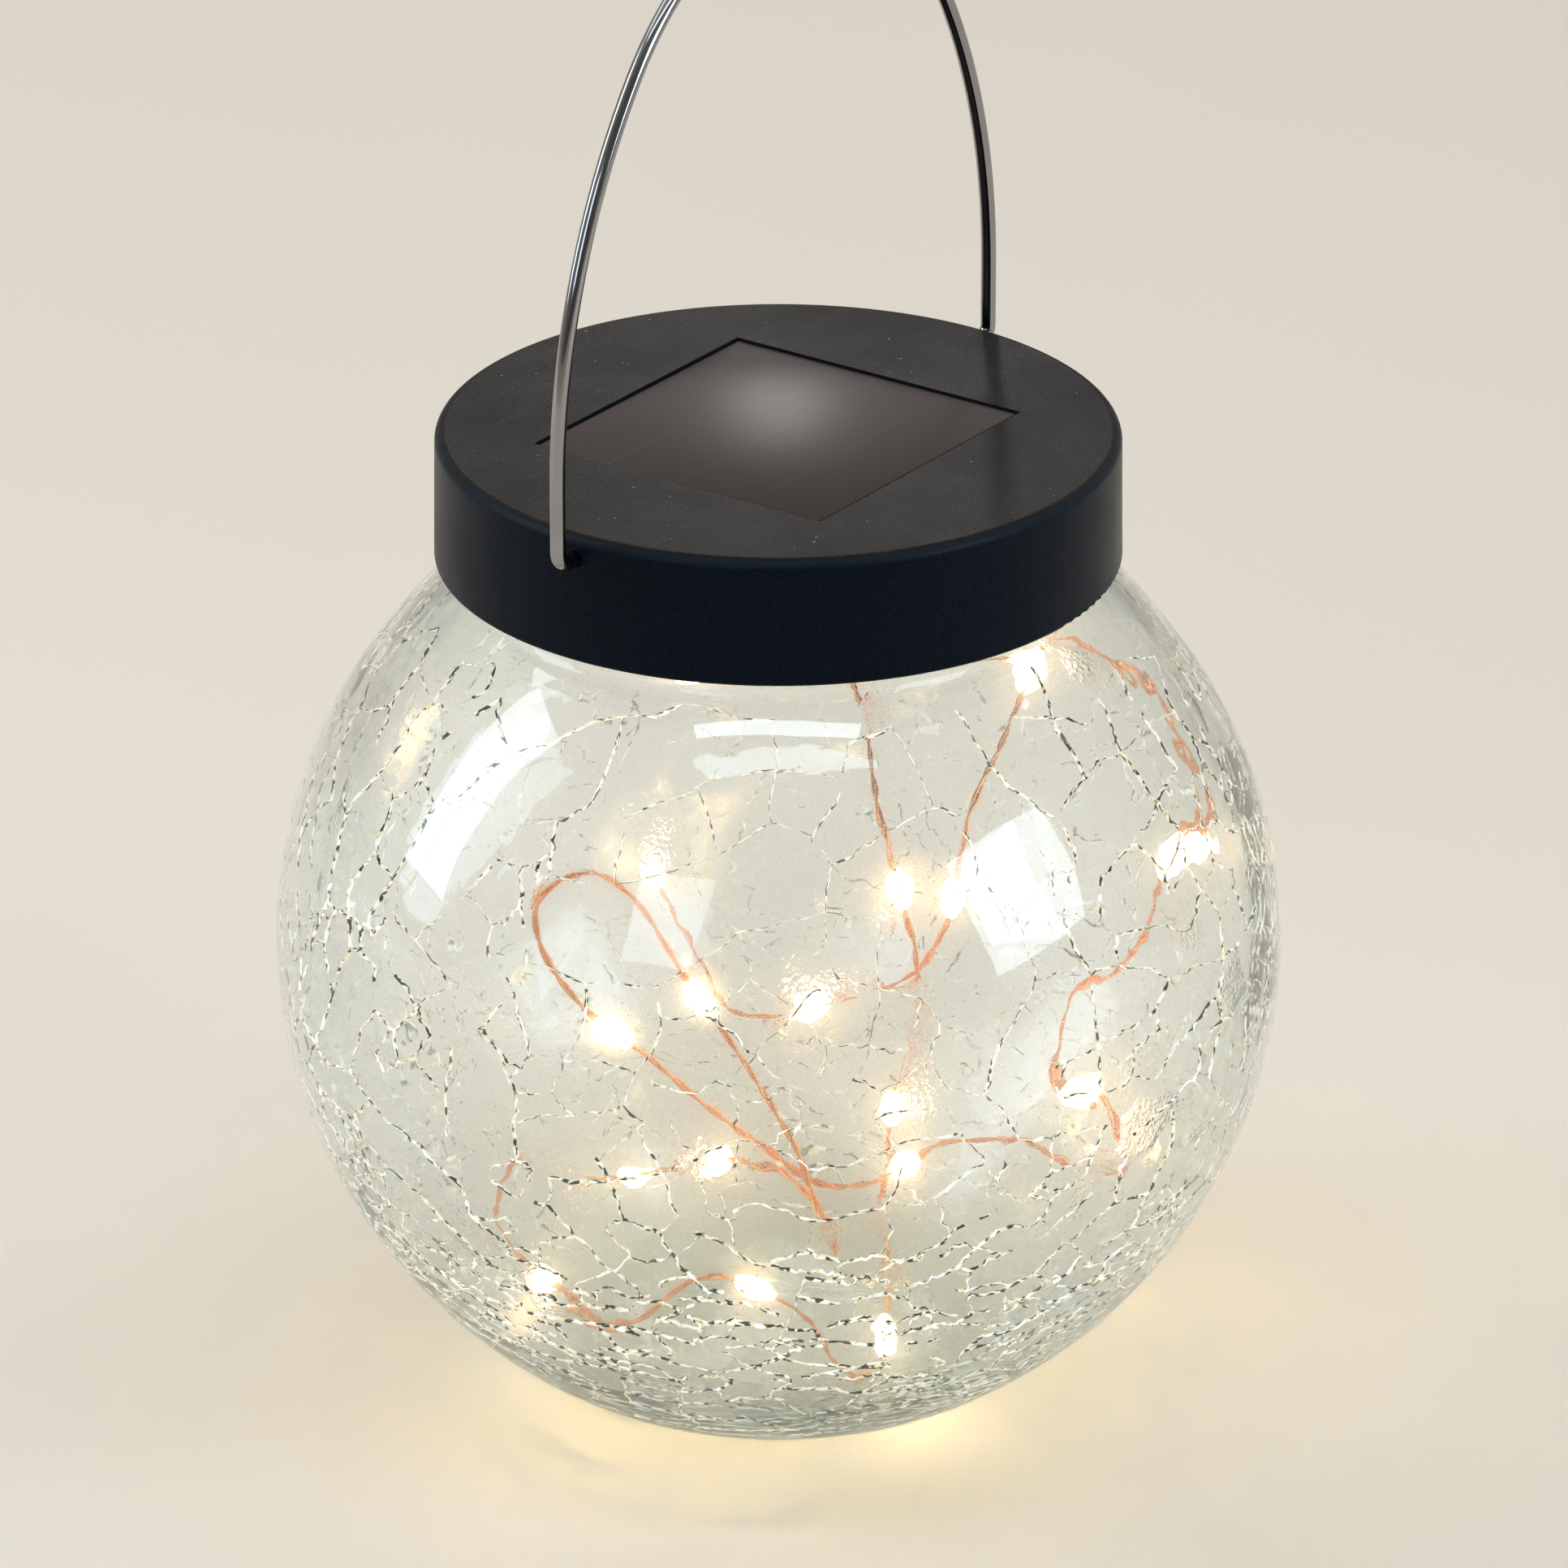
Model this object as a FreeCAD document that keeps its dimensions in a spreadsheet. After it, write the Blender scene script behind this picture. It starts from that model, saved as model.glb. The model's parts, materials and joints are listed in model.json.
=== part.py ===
import FreeCAD
import Part

import math
import os

import Sketcher

# A solar globe lantern: a crackle-glass globe, a black screw lid with a solar panel and the electronics
# inside, a wire bail, and a string of small lights that hangs in the globe.
# Frame: origin at the middle of the glass foot, +Z up, +X along the bail's hinge axis. Millimetres.

SIZES = {
    # Glass globe
    "globe_radius": 59.5,
    "foot_radius": 20.0,
    "glass_wall": 4.2,
    "base_glass": 5.0,
    "punt_radius": 15.0,
    "punt_rise": 1.2,
    "neck_radius": 35.4,
    "neck_length": 13.2,
    "neck_wall": 2.6,
    "rim_round": 1.0,
    "foot_round": 1.5,
    "root_round": 1.6,
    # Seal between the glass rim and the lid
    "seal_thickness": 2.0,
    "seal_inset": 0.5,
    # Lid
    "lid_height": 15.4,
    "lid_wall": 2.0,
    "lid_plate": 1.6,
    "lid_draft": 0.2,
    "lid_edge": 1.2,
    "lid_lip": 0.5,
    "thread_room": 2.6,
    # Screw thread: a ridge round the glass neck and one in the lid that catches under it
    "thread_pitch": 4.2,
    "thread_climb": 6.3,
    "thread_start": 4.2,
    "thread_depth": 1.5,
    "thread_root": 2.2,
    "thread_crest": 1.0,
    "thread_sink": 0.3,
    "thread_gap": 0.2,
    # Solar panel and the tray it is glued into
    "panel_side": 40.0,
    "panel_thickness": 1.6,
    "panel_edge": 0.3,
    "panel_gap": 0.2,
    "panel_sink": 0.2,
    "tape_margin": 2.0,
    "tape_thickness": 0.4,
    "tray_floor": 1.2,
    "tray_wall": 1.0,
    "lead_slot": 3.0,
    # Housing under the lid: skirt, cover and screws
    "skirt_gap": 2.2,
    "skirt_wall": 1.8,
    "skirt_depth": 14.6,
    "cover_thickness": 2.0,
    "lip_height": 1.6,
    "lip_wall": 1.2,
    "lip_gap": 0.2,
    "boss_radius": 2.6,
    "boss_gap": 0.4,
    "screw_radius": 1.0,
    "screw_length": 8.0,
    "screw_gap": 0.05,
    "head_radius": 2.1,
    "head_height": 1.4,
    "head_sink": 1.0,
    "head_gap": 0.3,
    # Battery, its box, its contacts and its door
    "cell_radius": 5.25,
    "cell_length": 44.5,
    "cell_offset": 1.0,
    "cell_gap": 0.2,
    "nub_radius": 1.9,
    "nub_length": 0.8,
    "box_wall": 1.2,
    "box_rise": 8.0,
    "contact_strip": 0.4,
    "contact_width": 7.0,
    "contact_rise": 4.4,
    "spring_reach": 2.6,
    "tab_width": 3.0,
    "tab_rise": 1.6,
    "door_thickness": 1.2,
    "door_ledge": 1.1,
    "door_gap": 0.2,
    "notch_radius": 3.0,
    # Circuit board and what is soldered to it
    "board_length": 22.0,
    "board_width": 14.0,
    "board_thickness": 1.0,
    "board_gap": 2.0,
    "board_rise": 4.0,
    "post_radius": 1.6,
    "post_inset": 2.5,
    "peg_radius": 0.7,
    "peg_rise": 0.6,
    "peg_gap": 0.1,
    "chip_length": 4.4,
    "chip_width": 1.6,
    "chip_height": 3.4,
    "leg_length": 1.0,
    "leg_side": 0.4,
    "leg_pitch": 1.1,
    "coil_radius": 2.4,
    "coil_waist": 1.8,
    "coil_height": 3.2,
    "coil_flange": 0.7,
    "lead_radius": 0.45,
    # Slide switch
    "switch_length": 8.6,
    "switch_width": 4.0,
    "switch_lift": 0.3,
    "slider_length": 3.4,
    "slider_width": 2.0,
    "slider_height": 1.8,
    "slider_travel": 2.0,
    "slider_gap": 0.2,
    "stem_side": 1.6,
    "stem_reach": 1.2,
    "stem_gap": 0.3,
    # Wire bail
    "bail_wire_radius": 0.9,
    "bail_standoff": 3.0,
    "bail_height": 68.2,
    "bail_leg": 9.6,
    "bail_crown": 35.0,
    "bail_bend": 1.9,
    "bail_tail": 1.6,
    "hinge_drop": 2.8,
    "hinge_gap": 0.1,
    # Light string and its gland
    "string_radius": 0.4,
    "bead_radius": 1.6,
    "bead_length": 5.4,
    "bead_tip": 0.7,
    "die_length": 1.6,
    "die_width": 1.0,
    "die_thickness": 0.6,
    "gland_room": 0.35,
    "gland_side": 6.5,
    "gland_waist": 1.5,
    "gland_gap": 0.05,
    "gland_flange": 2.5,
    "flange_thickness": 1.0,
    "gland_nose": 2.6,
    "nose_radius": 0.9,
    # How far a cut runs past the face it opens
    "cut_past": 1.0,
}

SCREW_COUNT = 3
LEG_COUNT = 4

# The light string's route below its gland, chosen by hand.
STRING_POINTS = [
    (10.5, -6.5, 91.5), (6, -7, 83), (-3, -16, 74), (0, -19, 60), (4, -18, 50), (7, -14, 40), (7, -11, 29),
    (5, -10, 20), (1, -16, 13), (-10, -20, 6.5), (-18, -21, 11), (-25, -22, 23), (-35, -14, 32), (-41, -9, 24),
    (-37, 2, 21), (-29, 20, 19), (-17, 31, 20), (-5, 33, 20), (1, 27, 15), (-3, 14, 24), (-8, -4, 31),
    (-12, -14, 30), (-19, -22, 28), (-26, -25, 35), (-29, -24, 44), (-29, -19, 51), (-30, -14, 58),
    (-34, -9, 68), (-35, -5, 76), (-40, -1, 80), (-45, 3, 76), (-44, 0, 67), (-36, -11, 54), (-30, -17, 46),
    (-22, -21, 38), (-13, -21, 34), (2, -22, 35), (14, -25, 31), (24, -32, 24), (33, -29, 25), (36, -13, 27),
    (44, -11, 34), (45, -19, 41), (44, -27, 50), (40, -33, 67), (35, -32, 79), (37, -22, 85), (34, -15, 88),
    (20, -19, 83), (7, -21, 71), (5, -19, 56), (10, -9, 48), (10, 13, 36), (22, 30, 37), (29, 39, 44),
]
# One mark for each run of the route: o has a light at its middle.
LIGHT_MARKS = "...o..o..o..o..o...oo......o....o...o...o...o...o.o.o.."

BEND_SHARE = 0.45


class Size:
    """A length with its value and the sheet formula that it is bound with."""

    def __init__(self, value, formula):
        self.value = value
        self.formula = formula

    def __add__(self, other):
        other = as_size(other)
        return Size(self.value + other.value, f"({self.formula} + {other.formula})")

    def __sub__(self, other):
        other = as_size(other)
        return Size(self.value - other.value, f"({self.formula} - {other.formula})")

    def __mul__(self, other):
        other = as_size(other)
        return Size(self.value * other.value, f"({self.formula} * {other.formula})")

    def __truediv__(self, other):
        other = as_size(other)
        return Size(self.value / other.value, f"({self.formula} / {other.formula})")

    def __neg__(self):
        return Size(-self.value, f"(0 - {self.formula})")


def as_size(number):
    return number if isinstance(number, Size) else Size(float(number), f"({number})")


def root(size):
    return Size(math.sqrt(size.value), f"sqrt({size.formula})")


def other_leg(long_side, leg):
    """The second leg of a right triangle: where a sphere of one radius meets a cylinder of another."""
    return root(long_side * long_side - leg * leg)


doc = FreeCAD.newDocument("globe_lantern")
sheet = doc.addObject("Spreadsheet::Sheet", "Sizes")
for row, (alias, number) in enumerate(SIZES.items(), start=1):
    sheet.set(f"A{row}", alias)
    sheet.set(f"B{row}", str(number))
    sheet.setAlias(f"B{row}", alias)
doc.recompute()
d = {alias: Size(number, f"Sizes.{alias}") for alias, number in SIZES.items()}

# Levels and radii that several pieces share.
globe_centre = other_leg(d["globe_radius"], d["foot_radius"])
inner_radius = d["globe_radius"] - d["glass_wall"]
neck_bore = d["neck_radius"] - d["neck_wall"]
neck_root = globe_centre + other_leg(d["globe_radius"], d["neck_radius"])
bore_root = globe_centre + other_leg(inner_radius, neck_bore)
neck_top = neck_root + d["neck_length"]
ceiling = neck_top + d["seal_thickness"]
lid_top = ceiling + d["lid_plate"]
lid_bottom = lid_top - d["lid_height"]
lid_bore = d["neck_radius"] + d["thread_room"]
lid_radius = lid_bore + d["lid_wall"]
hinge_height = lid_top - d["hinge_drop"]

# The two threads have the same flanks, so one drop sets the gap between them at every radius.
glass_thread = neck_root + d["thread_start"]
flank_slope = (d["thread_root"] - d["thread_crest"]) / ((d["thread_depth"] + d["thread_sink"]) * 2)
flank_reach = d["thread_room"] + d["thread_sink"] * 2
lid_thread = glass_thread - d["thread_root"] + flank_slope * flank_reach - d["thread_gap"]

panel_top = lid_top - d["panel_sink"]
panel_bottom = panel_top - d["panel_thickness"]
tray_top = panel_bottom - d["tape_thickness"]
tray_bottom = tray_top - d["tray_floor"]
recess_side = d["panel_side"] + d["panel_gap"] * 2

skirt_radius = neck_bore - d["skirt_gap"]
skirt_bore = skirt_radius - d["skirt_wall"]
cover_top = ceiling - d["skirt_depth"]
cover_bottom = cover_top - d["cover_thickness"]
lip_radius = skirt_bore - d["lip_gap"]
boss_circle = lip_radius - d["lip_wall"] - d["boss_gap"] - d["boss_radius"]

cell_room = d["cell_radius"] + d["cell_gap"]
cell_axis = cover_bottom + d["door_thickness"] + cell_room
box_side_low = d["cell_offset"] - cell_room - d["box_wall"]
box_side_high = d["cell_offset"] + cell_room + d["box_wall"]
box_half = (d["cell_length"] + d["contact_strip"] * 2 + d["spring_reach"]) / 2
box_top = cover_top + d["box_rise"]
tab_top = box_top + d["tab_rise"]

board_middle = box_side_low - d["board_gap"] - d["board_width"] / 2
board_bottom = cover_top + d["board_rise"]
board_top = board_bottom + d["board_thickness"]
post_spread = d["board_length"] / 2 - d["post_inset"]
switch_bottom = cover_top + d["switch_lift"]
rest_shift = -d["slider_travel"] / 2

gland_x = box_side_high + d["gland_room"] + d["gland_flange"]
gland_y = -d["gland_side"]
gland_bottom = cover_bottom - d["flange_thickness"] - d["gland_nose"]
gland_top = cover_top + d["flange_thickness"]


def bind(thing, prop, size):
    thing.setExpression(prop, as_size(size).formula)


def place(thing, spot, turn=None):
    thing.Placement = FreeCAD.Placement(FreeCAD.Vector(), turn or FreeCAD.Rotation())
    for axis, size in zip("xyz", spot):
        bind(thing, f"Placement.Base.{axis}", size)


def block(name, corner, spans):
    box = doc.addObject("Part::Box", name)
    for prop, size in zip(("Length", "Width", "Height"), spans):
        bind(box, prop, size)
    place(box, corner)
    return box


def block_about(name, middle, bottom, spans):
    """A block centred on (x, y) that stands on a level."""
    corner = [as_size(at) - as_size(span) / 2 for at, span in zip(middle, spans)]
    return block(name, (*corner, bottom), spans)


def rod(name, start, radius, length, turn=None):
    cylinder = doc.addObject("Part::Cylinder", name)
    bind(cylinder, "Radius", radius)
    bind(cylinder, "Height", length)
    place(cylinder, start, turn)
    return cylinder


def fused(name, pieces):
    whole = doc.addObject("Part::MultiFuse", name)
    whole.Shapes = pieces
    whole.Refine = True
    return whole


def cut(name, base, tools):
    whole = doc.addObject("Part::Cut", name)
    whole.Base = base
    whole.Tool = tools[0] if len(tools) == 1 else fused(name + "Tools", tools)
    whole.Refine = True
    return whole


def kept_within(name, piece, limit):
    whole = doc.addObject("Part::Common", name)
    whole.Base = piece
    whole.Tool = limit
    return whole


def group(name, pieces):
    compound = doc.addObject("Part::Compound", name)
    compound.Links = pieces
    return compound


class Bow:
    """An outline's next stretch is an arc about a centre, turning one way or the other."""

    def __init__(self, radius, centre, clockwise=False):
        self.radius = radius
        self.centre = centre
        self.clockwise = clockwise


def origin_plane(body, role):
    return next(plane for plane in body.Origin.OriginFeatures if plane.Role == role)


def pin_corner(sketch, edge, end, corner, label):
    """Holds one end of an edge at its two coordinates, bound to the sheet."""
    for kind, axis, size in zip(("DistanceX", "DistanceY"), (-2, -1), corner):
        size = as_size(size)
        if size.value == 0:
            sketch.addConstraint(Sketcher.Constraint("PointOnObject", edge, end, axis))
        else:
            index = sketch.addConstraint(Sketcher.Constraint(kind, edge, end, size.value))
            sketch.renameConstraint(index, label + kind[-1])
            sketch.setExpression(f"Constraints.{label}{kind[-1]}", size.formula)


def angle_about(centre, point):
    return math.atan2(point.y - centre.y, point.x - centre.x)


def flat_point(corner):
    return FreeCAD.Vector(as_size(corner[0]).value, as_size(corner[1]).value, 0)


def outline_sketch(body, name, role, steps, closed=True):
    """A sketch on an origin plane. steps holds corners, with a Bow before a corner that an arc leads to."""
    sketch = body.newObject("Sketcher::SketchObject", name)
    sketch.AttachmentSupport = (origin_plane(body, role), [""])
    sketch.MapMode = "FlatFace"
    corners = [step for step in steps if not isinstance(step, Bow)]
    bows = {}
    for index, step in enumerate(steps):
        if isinstance(step, Bow):
            bows[sum(not isinstance(before, Bow) for before in steps[:index]) - 1] = step
    stretches = len(corners) if closed else len(corners) - 1
    ends = []
    for index in range(stretches):
        start = flat_point(corners[index])
        end = flat_point(corners[(index + 1) % len(corners)])
        bow = bows.get(index)
        if bow is None:
            edge = sketch.addGeometry(Part.LineSegment(start, end))
            ends.append((edge, 1, 2))
            continue
        centre = flat_point(bow.centre)
        first, last = (end, start) if bow.clockwise else (start, end)
        circle = Part.Circle(centre, FreeCAD.Vector(0, 0, 1), bow.radius.value)
        edge = sketch.addGeometry(
            Part.ArcOfCircle(circle, angle_about(centre, first), angle_about(centre, last))
        )
        ends.append((edge, 2, 1) if bow.clockwise else (edge, 1, 2))
    for index, (edge, start, end) in enumerate(ends):
        pin_corner(sketch, edge, start, corners[index], f"corner{index}")
        if closed or index + 1 < len(ends):
            following = ends[(index + 1) % len(ends)]
            sketch.addConstraint(Sketcher.Constraint("Coincident", edge, end, following[0], following[1]))
        else:
            pin_corner(sketch, edge, end, corners[-1], "finish")
        if index in bows:
            radius = bows[index].radius
            row = sketch.addConstraint(Sketcher.Constraint("Radius", edge, radius.value))
            sketch.renameConstraint(row, f"bow{index}")
            sketch.setExpression(f"Constraints.bow{index}", radius.formula)
    return sketch


def turned(name, steps):
    """A body of revolution about Z, from corners given as (radius, height)."""
    body = doc.addObject("PartDesign::Body", name)
    sketch = outline_sketch(body, name + "Profile", "XZ_Plane", steps)
    spin = body.newObject("PartDesign::Revolution", name + "Spin")
    spin.Profile = sketch
    spin.ReferenceAxis = (sketch, ["V_Axis"])
    spin.Angle = 360
    doc.recompute()
    return body


def ring_names(shape, rings):
    """Names of the circular edges of a turned shape that lie at the given (radius, height)."""
    names = []
    for radius, height in rings:
        for index, edge in enumerate(shape.Edges, start=1):
            if edge.Degenerated or not isinstance(edge.Curve, Part.Circle):
                continue
            curve = edge.Curve
            if abs(curve.Radius - as_size(radius).value) < 1e-4:
                if abs(curve.Center.z - as_size(height).value) < 1e-4:
                    names.append(f"Edge{index}")
                    break
    return names


def rounded(body, name, rings, radius):
    """Rounds circular edges of a body's last feature."""
    base = body.Tip
    fillet = body.newObject("PartDesign::Fillet", name)
    fillet.Base = (base, ring_names(base.Shape, rings))
    bind(fillet, "Radius", radius)
    doc.recompute()


def threaded(body, name, face, depth, middle):
    """Adds a screw ridge to a turned body: it stands from a face's radius by a depth, inward if negative."""
    way = 1 if depth.value > 0 else -1
    foot = face - d["thread_sink"] * way
    crest = face + depth
    sketch = outline_sketch(body, name + "Profile", "XZ_Plane", [
        (foot, middle - d["thread_root"] / 2),
        (crest, middle - d["thread_crest"] / 2),
        (crest, middle + d["thread_crest"] / 2),
        (foot, middle + d["thread_root"] / 2),
    ])
    ridge = body.newObject("PartDesign::AdditiveHelix", name)
    ridge.Profile = sketch
    ridge.ReferenceAxis = (sketch, ["V_Axis"])
    ridge.Mode = "pitch-height-angle"
    bind(ridge, "Pitch", d["thread_pitch"])
    bind(ridge, "Height", d["thread_climb"])
    doc.recompute()


def bent_path(points):
    """Straight runs joined by tangent arcs, each arc as large as its two runs allow, and the arcs' radii."""
    spots = [FreeCAD.Vector(*point) for point in points]
    edges, radii = [], []
    reached = spots[0]
    for before, here, after in zip(spots, spots[1:], spots[2:]):
        back, ahead = before - here, after - here
        trim = BEND_SHARE * min(back.Length, ahead.Length)
        back.normalize()
        ahead.normalize()
        half_turn = (math.pi - back.getAngle(ahead)) / 2
        radius = trim / math.tan(half_turn)
        entry, leave = here + back * trim, here + ahead * trim
        bisector = back + ahead
        bisector.normalize()
        crest = here + bisector * (radius / math.cos(half_turn) - radius)
        edges.append(Part.LineSegment(reached, entry).toShape())
        edges.append(Part.Arc(entry, crest, leave).toShape())
        radii.append(radius)
        reached = leave
    edges.append(Part.LineSegment(reached, spots[-1]).toShape())
    return Part.Wire(edges), radii


def tube(points, radius):
    path, radii = bent_path(points)
    start = FreeCAD.Vector(*points[0])
    heading = FreeCAD.Vector(*points[1]) - start
    ring = Part.Wire([Part.Circle(start, heading, radius).toShape()])
    solid = path.makePipeShell([ring], True, False)
    return solid, path.Length, radii


def set_shape(name, shape):
    piece = doc.addObject("Part::Feature", name)
    piece.Shape = shape
    piece.Placement = FreeCAD.Placement()
    return piece


def at(*sizes):
    """Plain coordinates of a spot given in sizes."""
    return tuple(as_size(size).value for size in sizes)


def glass_globe():
    floor_edge = other_leg(inner_radius, globe_centre - d["base_glass"])
    punt = (d["punt_radius"] * d["punt_radius"] + d["punt_rise"] * d["punt_rise"]) / (d["punt_rise"] * 2)
    body = turned("Globe", [
        (0, d["punt_rise"]),
        Bow(punt, (0, d["punt_rise"] - punt), clockwise=True),
        (d["punt_radius"], 0),
        (d["foot_radius"], 0),
        Bow(d["globe_radius"], (0, globe_centre)),
        (d["neck_radius"], neck_root),
        (d["neck_radius"], neck_top),
        (neck_bore, neck_top),
        (neck_bore, bore_root),
        Bow(inner_radius, (0, globe_centre), clockwise=True),
        (floor_edge, d["base_glass"]),
        (0, d["base_glass"]),
    ])
    rounded(body, "GlobeRim", [(d["neck_radius"], neck_top), (neck_bore, neck_top)], d["rim_round"])
    rounded(body, "GlobeFoot", [(d["foot_radius"], 0)], d["foot_round"])
    rounded(body, "GlobeShoulder", [(d["neck_radius"], neck_root)], d["root_round"])
    threaded(body, "GlobeThread", d["neck_radius"], d["thread_depth"], glass_thread)
    return body


def neck_seal():
    inner = neck_bore + d["seal_inset"]
    outer = d["neck_radius"] - d["seal_inset"]
    return turned("Seal", [(inner, neck_top), (outer, neck_top), (outer, ceiling), (inner, ceiling)])


def boss_spots():
    """Places of the cover's screws, round the Z axis."""
    for index in range(SCREW_COUNT):
        angle = 2 * math.pi * index / SCREW_COUNT
        yield boss_circle * math.cos(angle), boss_circle * math.sin(angle)


def lid_shell():
    shell = turned("Cap", [
        (0, lid_top),
        (lid_radius - d["lid_draft"], lid_top),
        (lid_radius, lid_bottom),
        (lid_bore, lid_bottom),
        (lid_bore, ceiling),
        (skirt_radius, ceiling),
        (skirt_radius, cover_top),
        (skirt_bore, cover_top),
        (skirt_bore, ceiling),
        (0, ceiling),
    ])
    rounded(shell, "CapEdge", [(lid_radius - d["lid_draft"], lid_top)], d["lid_edge"])
    rounded(shell, "CapLip", [(lid_radius, lid_bottom)], d["lid_lip"])
    threaded(shell, "CapThread", lid_bore, -d["thread_depth"], lid_thread)
    tray_side = recess_side + d["tray_wall"] * 2
    tray_height = lid_top - d["lid_edge"] - tray_bottom
    tray = block_about("Tray", (0, 0), tray_bottom, (tray_side, tray_side, tray_height))
    bosses = [
        rod(f"Boss{index}", (x, y, cover_top), d["boss_radius"], ceiling - cover_top + d["lid_plate"] / 2)
        for index, (x, y) in enumerate(boss_spots())
    ]
    pilots = [
        rod(f"Pilot{index}", (x, y, cover_top), d["screw_radius"] + d["screw_gap"], d["screw_length"])
        for index, (x, y) in enumerate(boss_spots())
    ]
    recess = block_about("Recess", (0, 0), tray_top, (recess_side, recess_side, d["lid_height"]))
    across = FreeCAD.Rotation(FreeCAD.Vector(0, 1, 0), 90)
    hole_radius = d["bail_wire_radius"] + d["hinge_gap"]
    holes = [
        rod(f"HingeHole{index}", (start, 0, hinge_height), hole_radius, d["lid_wall"] * 2, across)
        for index, start in enumerate((-lid_radius - d["lid_wall"] / 2, lid_bore - d["lid_wall"] / 2))
    ]
    slot = through("TraySlot", tray_bottom, d["tray_floor"], lead_slot)
    return cut("Lid", fused("LidBody", [shell, tray, *bosses]), [recess, slot, *pilots, *holes])


def through(name, bottom, thickness, shape):
    """A cut made by shape(name, bottom, height), right through a plate and past both its faces."""
    return shape(name, bottom - d["cut_past"], thickness + d["cut_past"] * 2)


def lead_spot(index):
    """Where one of the panel's two leads goes down, over the circuit board."""
    return board_middle + d["lead_slot"], post_spread - d["lead_slot"] * (index + 0.5)


def lead_slot(name, bottom, height):
    x, first = lead_spot(0)
    middle = (x, first - d["lead_slot"] / 2)
    return block_about(name, middle, bottom, (d["lead_slot"], d["lead_slot"] * 2.2, height))


def solar_panel():
    side = d["panel_side"]
    slab = block_about("PanelSlab", (0, 0), panel_bottom, (side, side, d["panel_thickness"]))
    doc.recompute()
    edges = [
        (index, d["panel_edge"].value, d["panel_edge"].value)
        for index, edge in enumerate(slab.Shape.Edges, start=1)
        if edge.BoundBox.ZMin > panel_top.value - 1e-4
    ]
    panel = doc.addObject("Part::Chamfer", "Panel")
    panel.Base = slab
    panel.Edges = edges
    return panel


def panel_tape():
    side = d["panel_side"] - d["tape_margin"] * 2
    whole = block_about("TapeSheet", (0, 0), tray_top, (side, side, d["tape_thickness"]))
    return cut("Tape", whole, [through("TapeSlot", tray_top, d["tape_thickness"], lead_slot)])


def box_inside(name, bottom, height):
    """The battery's room, or a slab of it."""
    return block_about(name, (d["cell_offset"], 0), bottom, (cell_room * 2, box_half * 2, height))


def door_slab(name, gap, bottom, height):
    """The battery door's outline in the cover, with a gap all round."""
    grow = (d["door_ledge"] - gap) * 2
    spans = (cell_room * 2 + grow, box_half * 2 + grow, height)
    return block_about(name, (d["cell_offset"], 0), bottom, spans)


def stem_room(name, bottom, height):
    """The room in which the switch's stem travels."""
    side = d["stem_side"] + d["stem_gap"] * 2
    return block_about(name, (board_middle, 0), bottom, (side, side + d["slider_travel"], height))


def gland_bore(name, bottom, height):
    return rod(name, (gland_x, gland_y, bottom), d["gland_waist"] + d["gland_gap"], height)


def post_spots():
    for way in (-1, 1):
        yield board_middle, post_spread * way


def base_cover():
    disc = rod("CoverDisc", (0, 0, cover_bottom), skirt_radius, d["cover_thickness"])
    lip = cut("CoverLip", rod("LipOuter", (0, 0, cover_top), lip_radius, d["lip_height"]), [
        rod("LipInner", (0, 0, cover_bottom), lip_radius - d["lip_wall"], d["skirt_depth"])
    ])
    wall = d["box_wall"] * 2
    spans = (cell_room * 2 + wall, box_half * 2 + wall, box_top - cover_bottom)
    box = kept_within(
        "CellBox",
        block_about("BoxOuter", (d["cell_offset"], 0), cover_bottom, spans),
        rod("BoxLimit", (0, 0, cover_bottom), lip_radius, d["lid_height"] * 2),
    )
    posts = [
        rod(f"Post{index}", (x, y, cover_top), d["post_radius"], d["board_rise"])
        for index, (x, y) in enumerate(post_spots())
    ]
    pegs = [
        rod(f"Peg{index}", (x, y, cover_top), d["peg_radius"], board_top + d["peg_rise"] - cover_top)
        for index, (x, y) in enumerate(post_spots())
    ]
    body = fused("CoverBody", [disc, lip, box, *posts, *pegs])
    clear_radius = d["screw_radius"] + d["head_gap"]
    screw_holes = [
        rod(f"ScrewHole{index}", (x, y, cover_bottom), clear_radius, d["cover_thickness"] * 2)
        for index, (x, y) in enumerate(boss_spots())
    ]
    head_holes = [
        rod(
            f"HeadHole{index}",
            (x, y, cover_bottom - d["cut_past"]),
            d["head_radius"] + d["head_gap"],
            d["head_sink"] + d["cut_past"],
        )
        for index, (x, y) in enumerate(boss_spots())
    ]
    stem_slot = through("StemSlot", cover_bottom, d["cover_thickness"], stem_room)
    gland_hole = through("GlandHole", cover_bottom, d["cover_thickness"], gland_bore)
    opening = through("CellRoom", cover_bottom, box_top - cover_bottom, box_inside)
    rebate = door_slab("DoorSeat", 0, cover_bottom - d["cut_past"], d["door_thickness"] + d["cut_past"])
    return cut("Cover", body, [opening, rebate, stem_slot, gland_hole, *screw_holes, *head_holes])


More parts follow.
